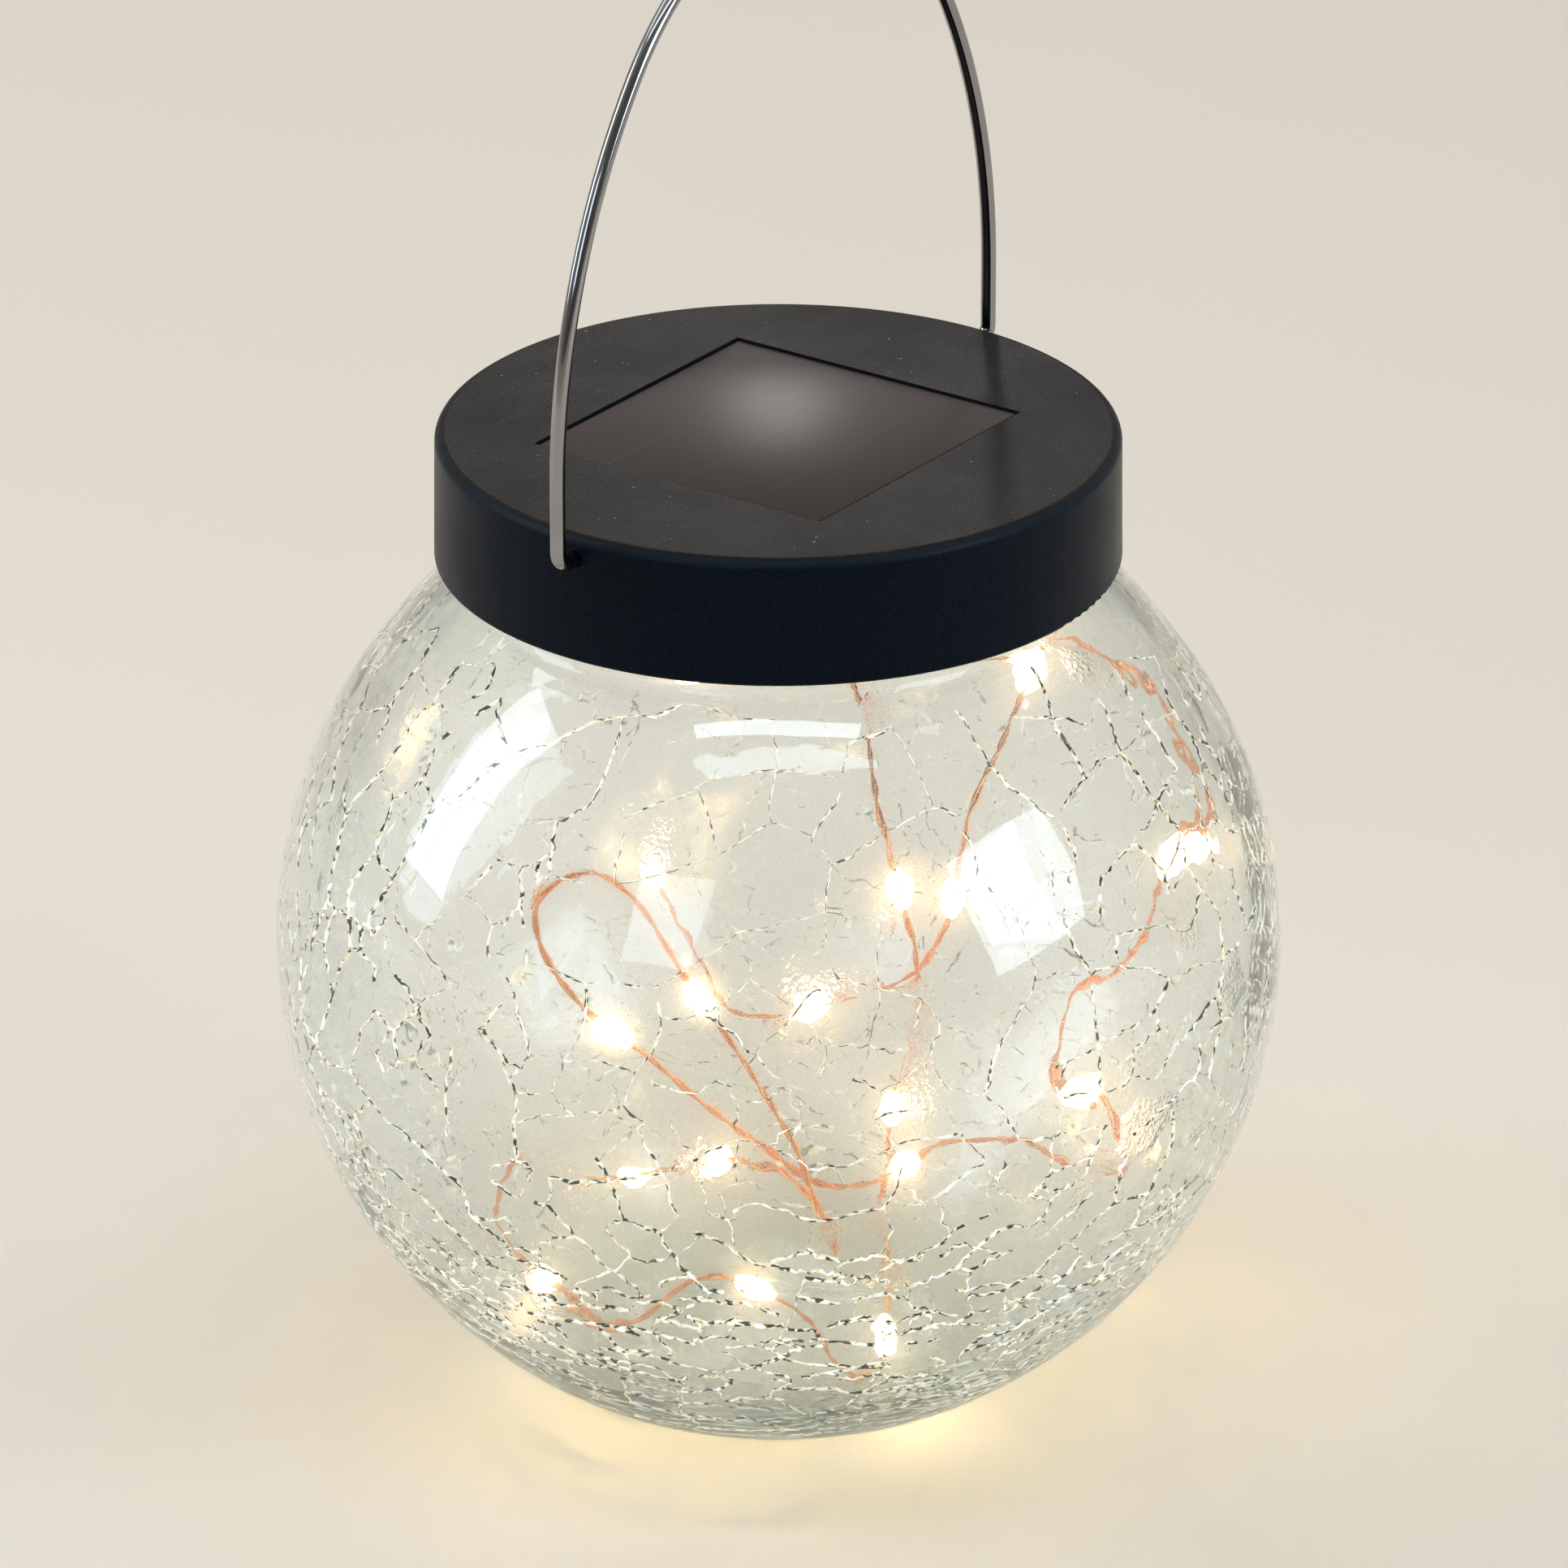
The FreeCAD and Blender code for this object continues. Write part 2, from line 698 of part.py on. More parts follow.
def base_screws():
    head_bottom = cover_bottom + d["head_sink"] - d["head_height"]
    screws = []
    for index, (x, y) in enumerate(boss_spots()):
        head = rod(f"ScrewHead{index}", (x, y, head_bottom), d["head_radius"], d["head_height"])
        shank_start = cover_bottom + d["head_sink"]
        shank = rod(
            f"ScrewShank{index}",
            (x, y, shank_start),
            d["screw_radius"],
            cover_top - shank_start + d["screw_length"] - d["screw_radius"],
        )
        long_side, short_side = d["head_radius"] * 1.2, d["head_radius"] * 0.25
        depth = d["head_height"] / 2 + d["cut_past"]
        slots = [
            block_about(f"ScrewSlot{index}{way}", (x, y), head_bottom - d["cut_past"], (*spans, depth))
            for way, spans in (("A", (long_side, short_side)), ("B", (short_side, long_side)))
        ]
        screws.append(cut(f"Screw{index}", fused(f"ScrewBlank{index}", [head, shank]), slots))
    return group("Screws", screws)


def battery_door():
    slab = door_slab("DoorSlab", d["door_gap"], cover_bottom, d["door_thickness"])
    edge = box_half + d["door_ledge"] - d["door_gap"]
    notch = rod(
        "DoorNotch",
        (d["cell_offset"], edge, cover_bottom - d["cut_past"]),
        d["notch_radius"],
        d["door_thickness"] / 2 + d["cut_past"],
    )
    return cut("Door", slab, [notch])


def battery_cell():
    length, nub = d["cell_length"], d["nub_length"]
    body = turned("Cell", [
        (0, 0),
        (d["cell_radius"], 0),
        (d["cell_radius"], length - nub),
        (d["nub_radius"], length - nub),
        (d["nub_radius"], length),
        (0, length),
    ])
    along = FreeCAD.Rotation(FreeCAD.Vector(1, 0, 0), -90)
    place(body, (d["cell_offset"], box_half - d["contact_strip"] - length, cell_axis), along)
    return body


def contact_plate(name, y):
    """A contact's flat plate against the end of the battery box, with its solder tab."""
    plate = block_about(
        name + "Plate",
        (d["cell_offset"], y),
        cell_axis - d["contact_rise"],
        (d["contact_width"], d["contact_strip"], d["contact_rise"] * 2),
    )
    tab = block_about(
        name + "Tab",
        (d["cell_offset"] - d["contact_width"] / 2 + d["tab_width"] / 2, y),
        cell_axis,
        (d["tab_width"], d["contact_strip"], tab_top - cell_axis),
    )
    return [plate, tab]


def plate_place(way):
    return (box_half - d["contact_strip"] / 2) * way


def plus_contact():
    return fused("PlusContact", contact_plate("Plus", plate_place(1)))


def minus_contact():
    """The negative plate carries a leaf that bows out to the battery."""
    rise, strip = d["contact_rise"], d["contact_strip"]
    back = d["contact_strip"] - box_half
    reach = d["spring_reach"]
    outer = (rise * rise + reach * reach) / (reach * 2)
    inner_rise, inner_reach = rise - strip * 2, reach - strip
    inner = (inner_rise * inner_rise + inner_reach * inner_reach) / (inner_reach * 2)
    body = doc.addObject("PartDesign::Body", "Leaf")
    sketch = outline_sketch(body, "LeafProfile", "YZ_Plane", [
        (back, cell_axis - rise),
        Bow(outer, (back + reach - outer, cell_axis)),
        (back, cell_axis + rise),
        (back, cell_axis + inner_rise),
        Bow(inner, (back + inner_reach - inner, cell_axis), clockwise=True),
        (back, cell_axis - inner_rise),
    ])
    pad = body.newObject("PartDesign::Pad", "LeafPad")
    pad.Profile = sketch
    bind(pad, "Length", d["contact_width"] - d["tab_width"] / 2)
    pad.Midplane = True
    place(body, (d["cell_offset"], 0, 0))
    doc.recompute()
    return fused("MinusContact", [body, *contact_plate("Minus", plate_place(-1))])


def circuit_board():
    slab = block_about(
        "BoardSlab", (board_middle, 0), board_bottom, (d["board_width"], d["board_length"], d["board_thickness"])
    )
    holes = [
        rod(
            f"PegHole{index}",
            (x, y, board_bottom - d["cut_past"]),
            d["peg_radius"] + d["peg_gap"],
            d["board_thickness"] + d["cut_past"] * 2,
        )
        for index, (x, y) in enumerate(post_spots())
    ]
    return cut("Board", slab, holes)


def driver_chip():
    x = board_middle - d["board_width"] / 4
    body = block_about(
        "ChipBody", (x, 0), board_top + d["leg_length"], (d["chip_width"], d["chip_length"], d["chip_height"])
    )
    legs = [
        block_about(
            f"ChipLeg{index}",
            (x, d["leg_pitch"] * (index - (LEG_COUNT - 1) / 2)),
            board_top,
            (d["leg_side"], d["leg_side"], d["leg_length"] + d["chip_height"] / 2),
        )
        for index in range(LEG_COUNT)
    ]
    return fused("Chip", [body, *legs])


def inductor():
    radius, waist, flange = d["coil_radius"], d["coil_waist"], d["coil_flange"]
    body = turned("Coil", [
        (0, 0),
        (radius, 0),
        (radius, flange),
        (waist, flange),
        (waist, d["coil_height"] - flange),
        (radius, d["coil_height"] - flange),
        (radius, d["coil_height"]),
        (0, d["coil_height"]),
    ])
    place(body, (board_middle + d["board_width"] / 4, 0, board_top))
    return body


def switch_body():
    shell = block_about(
        "SwitchShell",
        (board_middle, 0),
        switch_bottom,
        (d["switch_width"], d["switch_length"], board_bottom - switch_bottom),
    )
    gap = d["slider_gap"] * 2
    spans = (
        d["slider_width"] + gap,
        d["slider_length"] + d["slider_travel"] + gap,
        d["slider_height"] + d["slider_gap"] + d["cut_past"],
    )
    room = block_about("SwitchRoom", (board_middle, 0), switch_bottom - d["cut_past"], spans)
    return cut("Switch", shell, [room])


def switch_slider():
    """The slider at its ON end, with its stem down through the cover."""
    middle = (board_middle, rest_shift)
    head = block_about(
        "SliderHead", middle, switch_bottom, (d["slider_width"], d["slider_length"], d["slider_height"])
    )
    stem_bottom = cover_bottom - d["stem_reach"]
    stem = block_about(
        "SliderStem", middle, stem_bottom, (d["stem_side"], d["stem_side"], switch_bottom - stem_bottom)
    )
    return fused("Slider", [head, stem])


def leads(name, routes):
    return set_shape(name, Part.Compound([tube(route, d["lead_radius"].value)[0] for route in routes]))


def solar_leads():
    """From the panel's back down to the circuit board, with a slack bend."""
    routes = []
    for index in range(2):
        x, y = lead_spot(index)
        bend = d["lead_slot"] * 0.8
        routes.append([
            at(x, y, panel_bottom),
            at(x, y, tray_bottom - bend),
            at(x - bend, y, board_top + bend),
            at(x - bend, y, board_top),
        ])
    return leads("SolarLeads", routes)


def battery_leads():
    """From the contacts' tabs over the battery box to the circuit board's edge."""
    routes = []
    for way in (-1, 1):
        tab_x = d["cell_offset"] - d["contact_width"] / 2 + d["tab_width"] / 2
        pad_x = board_middle + d["board_width"] / 2 - d["lead_radius"] * 2
        pad_y = (d["board_length"] / 2 - d["lead_radius"] * 2) * way
        start = plate_place(way)
        over = tab_top + d["lead_radius"] * 3
        routes.append([
            at(tab_x, start, tab_top),
            at(tab_x, start, over),
            at((tab_x + pad_x) / 2, (start + pad_y) / 2, over),
            at(pad_x, pad_y, board_top + d["coil_height"]),
            at(pad_x, pad_y, board_top),
        ])
    return leads("BatteryLeads", routes)


def string_leads():
    """The string's two ends above the gland, over the battery to the circuit board."""
    routes = []
    for way in (-1, 1):
        y = gland_y + d["lead_radius"] * 1.5 * way
        pad_x = board_middle + d["board_width"] / 2 - d["lead_radius"] * 3
        over = tray_bottom - d["lead_radius"] * 3
        routes.append([
            at(gland_x, y, gland_top),
            at(gland_x, y, over),
            at(pad_x, y, over),
            at(pad_x, y, board_top),
        ])
    return leads("StringLeads", routes)


def string_gland():
    waist, flange, plate = d["gland_waist"], d["gland_flange"], d["flange_thickness"]
    body = turned("Gland", [
        (0, gland_bottom),
        (d["nose_radius"], gland_bottom),
        (waist, cover_bottom - plate),
        (flange, cover_bottom - plate),
        (flange, cover_bottom),
        (waist, cover_bottom),
        (waist, cover_top),
        (flange, cover_top),
        (flange, gland_top),
        (0, gland_top),
    ])
    place(body, (gland_x, gland_y, 0))
    return body


def string_route():
    return [at(gland_x, gland_y, gland_bottom), *STRING_POINTS]


def light_string():
    solid, length, radii = tube(string_route(), d["string_radius"].value)
    section = math.pi * d["string_radius"].value ** 2
    print(f"light string: length {length:.1f}, volume over section times length {solid.Volume / (section * length):.4f}")
    print("light string bend radii:", " ".join(f"{radius:.1f}" for radius in radii))
    return set_shape("String", solid)


def bead(middle, heading):
    """A clear resin drop round the wire: a barrel with tapered ends, its length along the wire."""
    half, tip, radius = (d[name].value for name in ("bead_length", "bead_tip", "bead_radius"))
    half = half / 2
    shoulder = half - (radius - tip)
    outline = [(0, -half), (tip, -half), (radius, -shoulder), (radius, shoulder), (tip, half), (0, half)]
    wire = Part.makePolygon([FreeCAD.Vector(r, 0, z) for r, z in [*outline, outline[0]]])
    solid = Part.Face(wire).revolve(FreeCAD.Vector(), FreeCAD.Vector(0, 0, 1), 360)
    solid.Placement = FreeCAD.Placement(middle, FreeCAD.Rotation(FreeCAD.Vector(0, 0, 1), heading))
    return solid


def light_places():
    """The middle and the heading of each light: at the middle of its run, and one at the string's end."""
    spots = [FreeCAD.Vector(*point) for point in string_route()]
    for mark, start, end in zip(LIGHT_MARKS, spots, spots[1:]):
        if mark == "o":
            yield (start + end) * 0.5, end - start
    yield spots[-1], spots[-1] - spots[-2]


def led_beads():
    return set_shape("Beads", Part.Compound([bead(middle, heading) for middle, heading in light_places()]))


def led_dies():
    """The light's own chip, in the drop and on the wire's side."""
    length, width, thick = (d[name].value for name in ("die_length", "die_width", "die_thickness"))
    dies = []
    for middle, heading in light_places():
        die = Part.makeBox(thick, width, length, FreeCAD.Vector(d["string_radius"].value, -width / 2, -length / 2))
        die.Placement = FreeCAD.Placement(middle, FreeCAD.Rotation(FreeCAD.Vector(0, 0, 1), heading))
        dies.append(die)
    return set_shape("Dies", Part.Compound(dies))


def bail_handle():
    """A bent wire: tails in the lid's holes, straight legs, side bows and a rounder crown."""
    half, bend, crown = lid_radius + d["bail_standoff"], d["bail_bend"], d["bail_crown"]
    tail = lid_bore - d["bail_tail"]
    leg_top = hinge_height + d["bail_leg"]
    crown_centre = hinge_height + d["bail_height"] - crown
    climb = crown_centre - leg_top
    side = (half * half + climb * climb - crown * crown) / ((half - crown) * 2)
    meet_x = crown * (side - half) / (side - crown)
    meet_z = crown_centre + crown * climb / (side - crown)
    low = hinge_height + bend
    body = doc.addObject("PartDesign::Body", "Bail")
    path = outline_sketch(body, "BailPath", "XZ_Plane", [
        (-tail, hinge_height),
        (bend - half, hinge_height),
        Bow(bend, (bend - half, low), clockwise=True),
        (-half, low),
        (-half, leg_top),
        Bow(side, (side - half, leg_top), clockwise=True),
        (-meet_x, meet_z),
        Bow(crown, (0, crown_centre), clockwise=True),
        (meet_x, meet_z),
        Bow(side, (half - side, leg_top), clockwise=True),
        (half, leg_top),
        (half, low),
        Bow(bend, (half - bend, low), clockwise=True),
        (half - bend, hinge_height),
        (tail, hinge_height),
    ], closed=False)
    section = body.newObject("Sketcher::SketchObject", "BailSection")
    section.AttachmentSupport = (origin_plane(body, "YZ_Plane"), [""])
    section.MapMode = "FlatFace"
    section.setExpression("AttachmentOffset.Base.z", (-tail).formula)
    middle = FreeCAD.Vector(0, hinge_height.value, 0)
    ring = section.addGeometry(Part.Circle(middle, FreeCAD.Vector(0, 0, 1), d["bail_wire_radius"].value))
    pin_corner(section, ring, 3, (0, hinge_height), "centre")
    row = section.addConstraint(Sketcher.Constraint("Radius", ring, d["bail_wire_radius"].value))
    section.renameConstraint(row, "wire")
    section.setExpression("Constraints.wire", d["bail_wire_radius"].formula)
    doc.recompute()
    pipe = body.newObject("PartDesign::AdditivePipe", "BailWire")
    pipe.Profile = section
    pipe.Spine = (path, [f"Edge{index}" for index in range(1, path.GeometryCount + 1)])
    doc.recompute()
    return body


MAKERS = [
    glass_globe, neck_seal, lid_shell, solar_panel, panel_tape, base_cover, base_screws, battery_door,
    battery_cell, plus_contact, minus_contact, circuit_board, driver_chip, inductor, switch_body, switch_slider,
    solar_leads, battery_leads, string_leads, string_gland, light_string, led_beads, led_dies,
    bail_handle,
]

subparts = []
for maker in MAKERS:
    piece = maker()
    piece.Label = maker.__name__
    subparts.append(piece)
doc.recompute()

for thing in doc.Objects:
    if "Invalid" in thing.State or "Error" in thing.State:
        raise RuntimeError(f"{thing.Label} failed: {thing.State}")
for piece in subparts:
    if piece.Shape.isNull() or not piece.Shape.isValid() or not piece.Shape.Solids:
        raise RuntimeError(f"{piece.Label} has no valid solid")

os.makedirs("parts", exist_ok=True)
for piece in subparts:
    piece.Shape.exportStep(f"parts/{piece.Label}.step")
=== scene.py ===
import json
import math
import random

import bpy
from mathutils import Matrix, Vector, noise

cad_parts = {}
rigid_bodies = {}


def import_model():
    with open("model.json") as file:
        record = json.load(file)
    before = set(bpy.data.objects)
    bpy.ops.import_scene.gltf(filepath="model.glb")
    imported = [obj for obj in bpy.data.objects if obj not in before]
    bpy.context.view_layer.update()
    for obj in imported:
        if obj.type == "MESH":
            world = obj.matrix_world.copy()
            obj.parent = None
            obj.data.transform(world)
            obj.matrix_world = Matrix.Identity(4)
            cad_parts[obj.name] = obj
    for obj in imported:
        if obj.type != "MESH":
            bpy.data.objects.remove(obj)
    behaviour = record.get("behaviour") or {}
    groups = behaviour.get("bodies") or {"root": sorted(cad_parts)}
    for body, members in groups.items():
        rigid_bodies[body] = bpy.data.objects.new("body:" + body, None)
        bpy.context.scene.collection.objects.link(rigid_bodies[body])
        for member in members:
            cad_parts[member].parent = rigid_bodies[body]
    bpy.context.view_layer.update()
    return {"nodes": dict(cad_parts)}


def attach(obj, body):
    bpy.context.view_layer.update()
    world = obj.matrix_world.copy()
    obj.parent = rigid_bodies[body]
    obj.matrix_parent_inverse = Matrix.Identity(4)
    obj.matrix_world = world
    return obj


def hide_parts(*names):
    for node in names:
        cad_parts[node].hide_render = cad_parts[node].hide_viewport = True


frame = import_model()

# A solar globe lantern: a crackle-glass globe with a black screw lid, a solar panel, a wire bail and a
# string of small lights on copper wire. Metres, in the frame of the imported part.

MM = 0.001
FULL_TURN = 2 * math.pi

GLOBE_CENTRE = Vector((0.0, 0.0, 56.038 * MM))
OUTER_RADIUS = 59.5 * MM
INNER_RADIUS = 55.3 * MM
FLOOR_LEVEL = 5.0 * MM
NECK_RADIUS = 35.4 * MM
NECK_BORE = 32.8 * MM
NECK_TOP = 117.061 * MM
RIM_ROUND = 1.0 * MM
HEEL_RADIUS = 21.4 * MM
SHOULDER_RADIUS = 36.6 * MM
NECK_FOOT = 105.6 * MM
INNER_SHOULDER_RADIUS = 34.2 * MM
INNER_HEEL_REACH = 3 * MM
BORE_MIDDLE, BORE_FOOT = 110 * MM, 101.8 * MM
WALL_STEPS, GLOBE_STEPS = 60, 192
THREAD_START = 108.061 * MM
THREAD_CLIMB = 6.3 * MM
THREAD_ANGLE = math.radians(540)
THREAD_STEPS = 288
LID_TOP = 120.661 * MM
LID_EDGE = 1.2 * MM
PANEL_CROWN = 110 * MM
PANEL_STRIP = 10 * MM

# The light string's route, repeated from the part's source, in millimetres. A light sits in the middle of
# each run that is listed, counted from the route's start, and one more at the tip.
STRING_ROUTE = [
    (10.5, -6.5, 98.8614), (10.5, -6.5, 91.5), (6, -7, 83), (-3, -16, 74), (0, -19, 60), (4, -18, 50),
    (7, -14, 40), (7, -11, 29), (5, -10, 20), (1, -16, 13), (-10, -20, 6.5), (-18, -21, 11),
    (-25, -22, 23), (-35, -14, 32), (-41, -9, 24), (-37, 2, 21), (-29, 20, 19), (-17, 31, 20),
    (-5, 33, 20), (1, 27, 15), (-3, 14, 24), (-8, -4, 31), (-12, -14, 30), (-19, -22, 28),
    (-26, -25, 35), (-29, -24, 44), (-29, -19, 51), (-30, -14, 58), (-34, -9, 68), (-35, -5, 76),
    (-40, -1, 80), (-45, 3, 76), (-44, 0, 67), (-36, -11, 54), (-30, -17, 46), (-22, -21, 38),
    (-13, -21, 34), (2, -22, 35), (14, -25, 31), (24, -32, 24), (33, -29, 25), (36, -13, 27),
    (44, -11, 34), (45, -19, 41), (44, -27, 50), (40, -33, 67), (35, -32, 79), (37, -22, 85),
    (34, -15, 88), (20, -19, 83), (7, -21, 71), (5, -19, 56), (10, -9, 48), (10, 13, 36),
    (22, 30, 37), (29, 39, 44),
]
LIGHT_RUNS = [3, 6, 9, 12, 15, 19, 20, 27, 32, 36, 40, 44, 48, 50, 52]
STRAND_RADIUS = 0.2 * MM
STRAND_LAY = 9.0 * MM

# Outlines in millimetres: the globe's foot, its bends to the neck outside and inside, the curve at its
# floor's edge, the section of its thread, and half the outline of a light's drop
FOOT_OUTLINE = [
    (0.0, 1.2), (5.0, 1.07), (10.0, 0.66), (14.0, 0.14), (15.0, 0.0),
    (17.4, 0.0), (18.6, 0.08), (19.6, 0.34), (20.4, 0.62),
]
NECK_BEND = [(35.9, 103.95), (35.5, 104.7)]
BORE_BEND = [(33.2, 100.6)]
FLOOR_BEND = [(1.2, 0.8), (-0.8, 0.3), (-3.0, 0.05)]
FLOOR_RINGS = [14 * MM, 7 * MM, 0.0]
THREAD_SECTION = [(-0.3, -1.1), (1.5, -0.5), (-0.3, 1.1), (1.5, 0.5)]
DROP_OUTLINE = [
    (0.0, -2.68), (0.6, -2.66), (0.86, -2.4), (1.15, -1.85), (1.44, -1.1), (1.58, -0.3),
    (1.56, 0.45), (1.38, 1.2), (1.08, 1.9), (0.82, 2.4), (0.58, 2.66), (0.0, 2.68),
]
DROP_STEPS = 20

# The globe's wall is looked at as two faces, and its heel is tinted between two levels: partly the green
# of thick glass, partly painted shade
INNER_FACE_LIMIT = 57.0 * MM
OUTER_FACE_LIMIT = 57.5 * MM
HEEL_LOW, HEEL_HIGH = 8 * MM, 24 * MM

# Slow waves of the blown glass fade out towards the foot and towards the neck
WAVE_SIZE = 22 * MM
WAVE_DEPTH = 0.55 * MM
WAVE_FOOT, WAVE_FOOT_FADE = 6 * MM, 12 * MM
WAVE_NECK, WAVE_NECK_FADE = 101 * MM, 8 * MM

# The cracks lie between the two faces of the wall
CRACK_OUTER = 58.6 * MM
CRACK_LOWEST = 2.6 * MM
CRACK_HIGHEST = 101.5 * MM
LOW_CRACK_HIGHEST = 36 * MM
CRACK_DEPTH, CRACK_DEPTH_RANGE = 0.8 * MM, 0.3 * MM
CRACK_LEAN = 0.17 * MM
CRACK_THICKNESS = 0.05 * MM
CRACK_SQUEEZE, CRACK_SQUEEZE_PHASE = 0.06, 0.978
CRACK_FORWARD = Vector((0.3, 0.5, 0.8))
CRACK_LOSS = 0.2
CELL_SCATTER = 2.6 * MM
CELL_LOSS = 0.54
CRACK_JITTER = 0.3 * MM
CRACK_DRIFT, CRACK_DRIFT_SCALE = 1.6 * MM, 110.0
LEAN_SCALE = 70.0
GAP_SCALE, GAP_LIMIT = 240.0, 0.45
GAP_SHIFT = Vector((7.0, 3.0, 1.0))
DRAW_SCALE, DRAW_LIMIT = 4000.0, -0.94

# Where the photograph was taken from, fitted to its outlines
PHOTO_PIXELS = 1932
FOCAL_PIXELS = 14000
SENSOR_WIDTH = 36.0
CAMERA_DISTANCE = 1.3407
CAMERA_RISE, CAMERA_SHIFT = 17.81 * MM, 0.66 * MM
VIEW_ELEVATION = math.radians(24.0)
VIEW_RIGHT = Vector((0.578, -0.816, 0.0)).normalized()
VIEW_BACK = Vector((-0.816, -0.578, 0.0)).normalized() * math.cos(VIEW_ELEVATION)
VIEW_BACK.z = math.sin(VIEW_ELEVATION)
VIEW_UP = VIEW_BACK.cross(VIEW_RIGHT)

# The floor and the lamps
FLOOR_SIDE = 16.0
LAMP_DISTANCE = 1.1
DAYLIGHT = (0.74, 0.87, 1.0)


# Modelling helpers

def clear_selection():
    if bpy.context.mode != "OBJECT":
        bpy.ops.object.mode_set(mode="OBJECT")
    bpy.ops.object.select_all(action="DESELECT")


def pick(*pieces):
    """Selects these pieces alone; the first is the active one."""
    clear_selection()
    for piece in pieces:
        piece.select_set(True)
    bpy.context.view_layer.objects.active = pieces[0]


def shaping_kept(piece, kind="VERT"):
    """Edit mode on one piece, with the selection that code made."""
    pick(piece)
    bpy.context.tool_settings.mesh_select_mode = (kind == "VERT", kind == "EDGE", kind == "FACE")
    bpy.ops.object.mode_set(mode="EDIT")


def shaping(piece):
    """Edit mode on one piece, with all of it selected."""
    shaping_kept(piece)
    bpy.ops.mesh.select_all(action="SELECT")


def shaped():
    """Back to object mode."""
    bpy.ops.object.mode_set(mode="OBJECT")


def settle(piece):
    """Puts a piece's place into its mesh."""
    pick(piece)
    bpy.ops.object.transform_apply(location=True, rotation=True, scale=True)


def applied(piece, kind, **settings):
    """Adds a modifier with these settings and applies it."""
    pick(piece)
    made = piece.modifiers.new("shape", kind)
    for name, value in settings.items():
        setattr(made, name, value)
    bpy.ops.object.modifier_apply(modifier=made.name)


def lathed(name, outline, steps):
    """An outline of (radius, height) points, extruded point by point and spun round the Z axis."""
    clear_selection()
    bpy.ops.mesh.primitive_plane_add(size=MM)
    piece = bpy.context.active_object
    piece.name = name
    shaping(piece)
    bpy.ops.mesh.merge(type="CENTER")
    bpy.ops.transform.translate(value=(outline[0][0], 0, outline[0][1]))
    for (radius, height), (next_radius, next_height) in zip(outline, outline[1:]):
        step = (next_radius - radius, 0, next_height - height)
        bpy.ops.mesh.extrude_region_move(TRANSFORM_OT_translate={"value": step})
    bpy.ops.mesh.select_all(action="SELECT")
    bpy.ops.mesh.spin(steps=steps, angle=FULL_TURN, center=(0, 0, 0), axis=(0, 0, 1))
    bpy.ops.mesh.select_all(action="SELECT")
    bpy.ops.mesh.remove_doubles(threshold=MM / 1000)
    bpy.ops.mesh.normals_make_consistent(inside=False)
    shaped()
    pick(piece)
    bpy.ops.object.shade_smooth()
    return piece


def metres(outline):
    """An outline in millimetres, turned into metres."""
    return [(radius * MM, height * MM) for radius, height in outline]


def arc(centre, radius, start, end, count):
    """Points (radius, height) on an arc; its angles are in degrees from the outward direction."""
    for index in range(count + 1):
        angle = math.radians(start + (end - start) * index / count)
        yield centre[0] + radius * math.cos(angle), centre[1] + radius * math.sin(angle)


# Node helpers

def add_node(tree, kind, inputs=None, **settings):
    """A node of the tree; each input is given a plain value or another node's output."""
    made = tree.nodes.new(kind)
    for name, value in settings.items():
        setattr(made, name, value)
    for name, value in (inputs or {}).items():
        if isinstance(value, bpy.types.NodeSocket):
            tree.links.new(value, made.inputs[name])
        else:
            made.inputs[name].default_value = value
    return made


def colour(red, green, blue):
    return (red, green, blue, 1.0)


def object_place(tree):
    return add_node(tree, "ShaderNodeTexCoord").outputs["Object"]


def noise_of(tree, scale, detail=3.0, roughness=0.55, place=None):
    """Noise from 0 to 1; a scale of 1000 changes about every millimetre."""
    inputs = {
        "Vector": place or object_place(tree), "Scale": scale, "Detail": detail, "Roughness": roughness,
    }
    return add_node(tree, "ShaderNodeTexNoise", inputs).outputs["Fac"]


def banded(tree, value, low, high, to_low=0.0, to_high=1.0):
    """A value's part between low and high, spread from to_low to to_high."""
    inputs = {"Value": value, "From Min": low, "From Max": high, "To Min": to_low, "To Max": to_high}
    return add_node(tree, "ShaderNodeMapRange", inputs).outputs["Result"]


def blended(tree, factor, first, second):
    """A colour between two colours; a factor of 0 gives the first."""
    inputs = {0: factor, 6: first, 7: second}
    return add_node(tree, "ShaderNodeMix", inputs, data_type="RGBA").outputs[2]


def sums(tree, operation, first, second):
    """The result of a Math node."""
    made = add_node(tree, "ShaderNodeMath", {0: first, 1: second}, operation=operation)
    return made.outputs["Value"]


def raised(tree, height, strength, distance):
    """A bump from a height, for a shader's Normal."""
    inputs = {"Height": height, "Strength": strength, "Distance": distance}
    return add_node(tree, "ShaderNodeBump", inputs).outputs["Normal"]


def finish(name, **plain):
    """A material with a Principled shader; plain values are set on its sockets."""
    made = bpy.data.materials.new(name)
    made.use_nodes = True
    shader = made.node_tree.nodes["Principled BSDF"]
    for label, value in plain.items():
        shader.inputs[label.replace("_", " ")].default_value = value
    return made, made.node_tree, shader


def feed(tree, shader, **outputs):
    """Links outputs to a shader's sockets."""
    for label, output in outputs.items():
        tree.links.new(output, shader.inputs[label.replace("_", " ")])


def effect(name, inputs, outputs):
    """A shader node group with named inputs and outputs."""
    tree = bpy.data.node_groups.new(name, "ShaderNodeTree")
    for label, value in inputs.items():
        made = tree.interface.new_socket(label, in_out="INPUT", socket_type="NodeSocketFloat")
        made.default_value = value
    for label in outputs:
        tree.interface.new_socket(label, in_out="OUTPUT", socket_type="NodeSocketFloat")
    return tree, tree.nodes.new("NodeGroupInput").outputs, tree.nodes.new("NodeGroupOutput").inputs


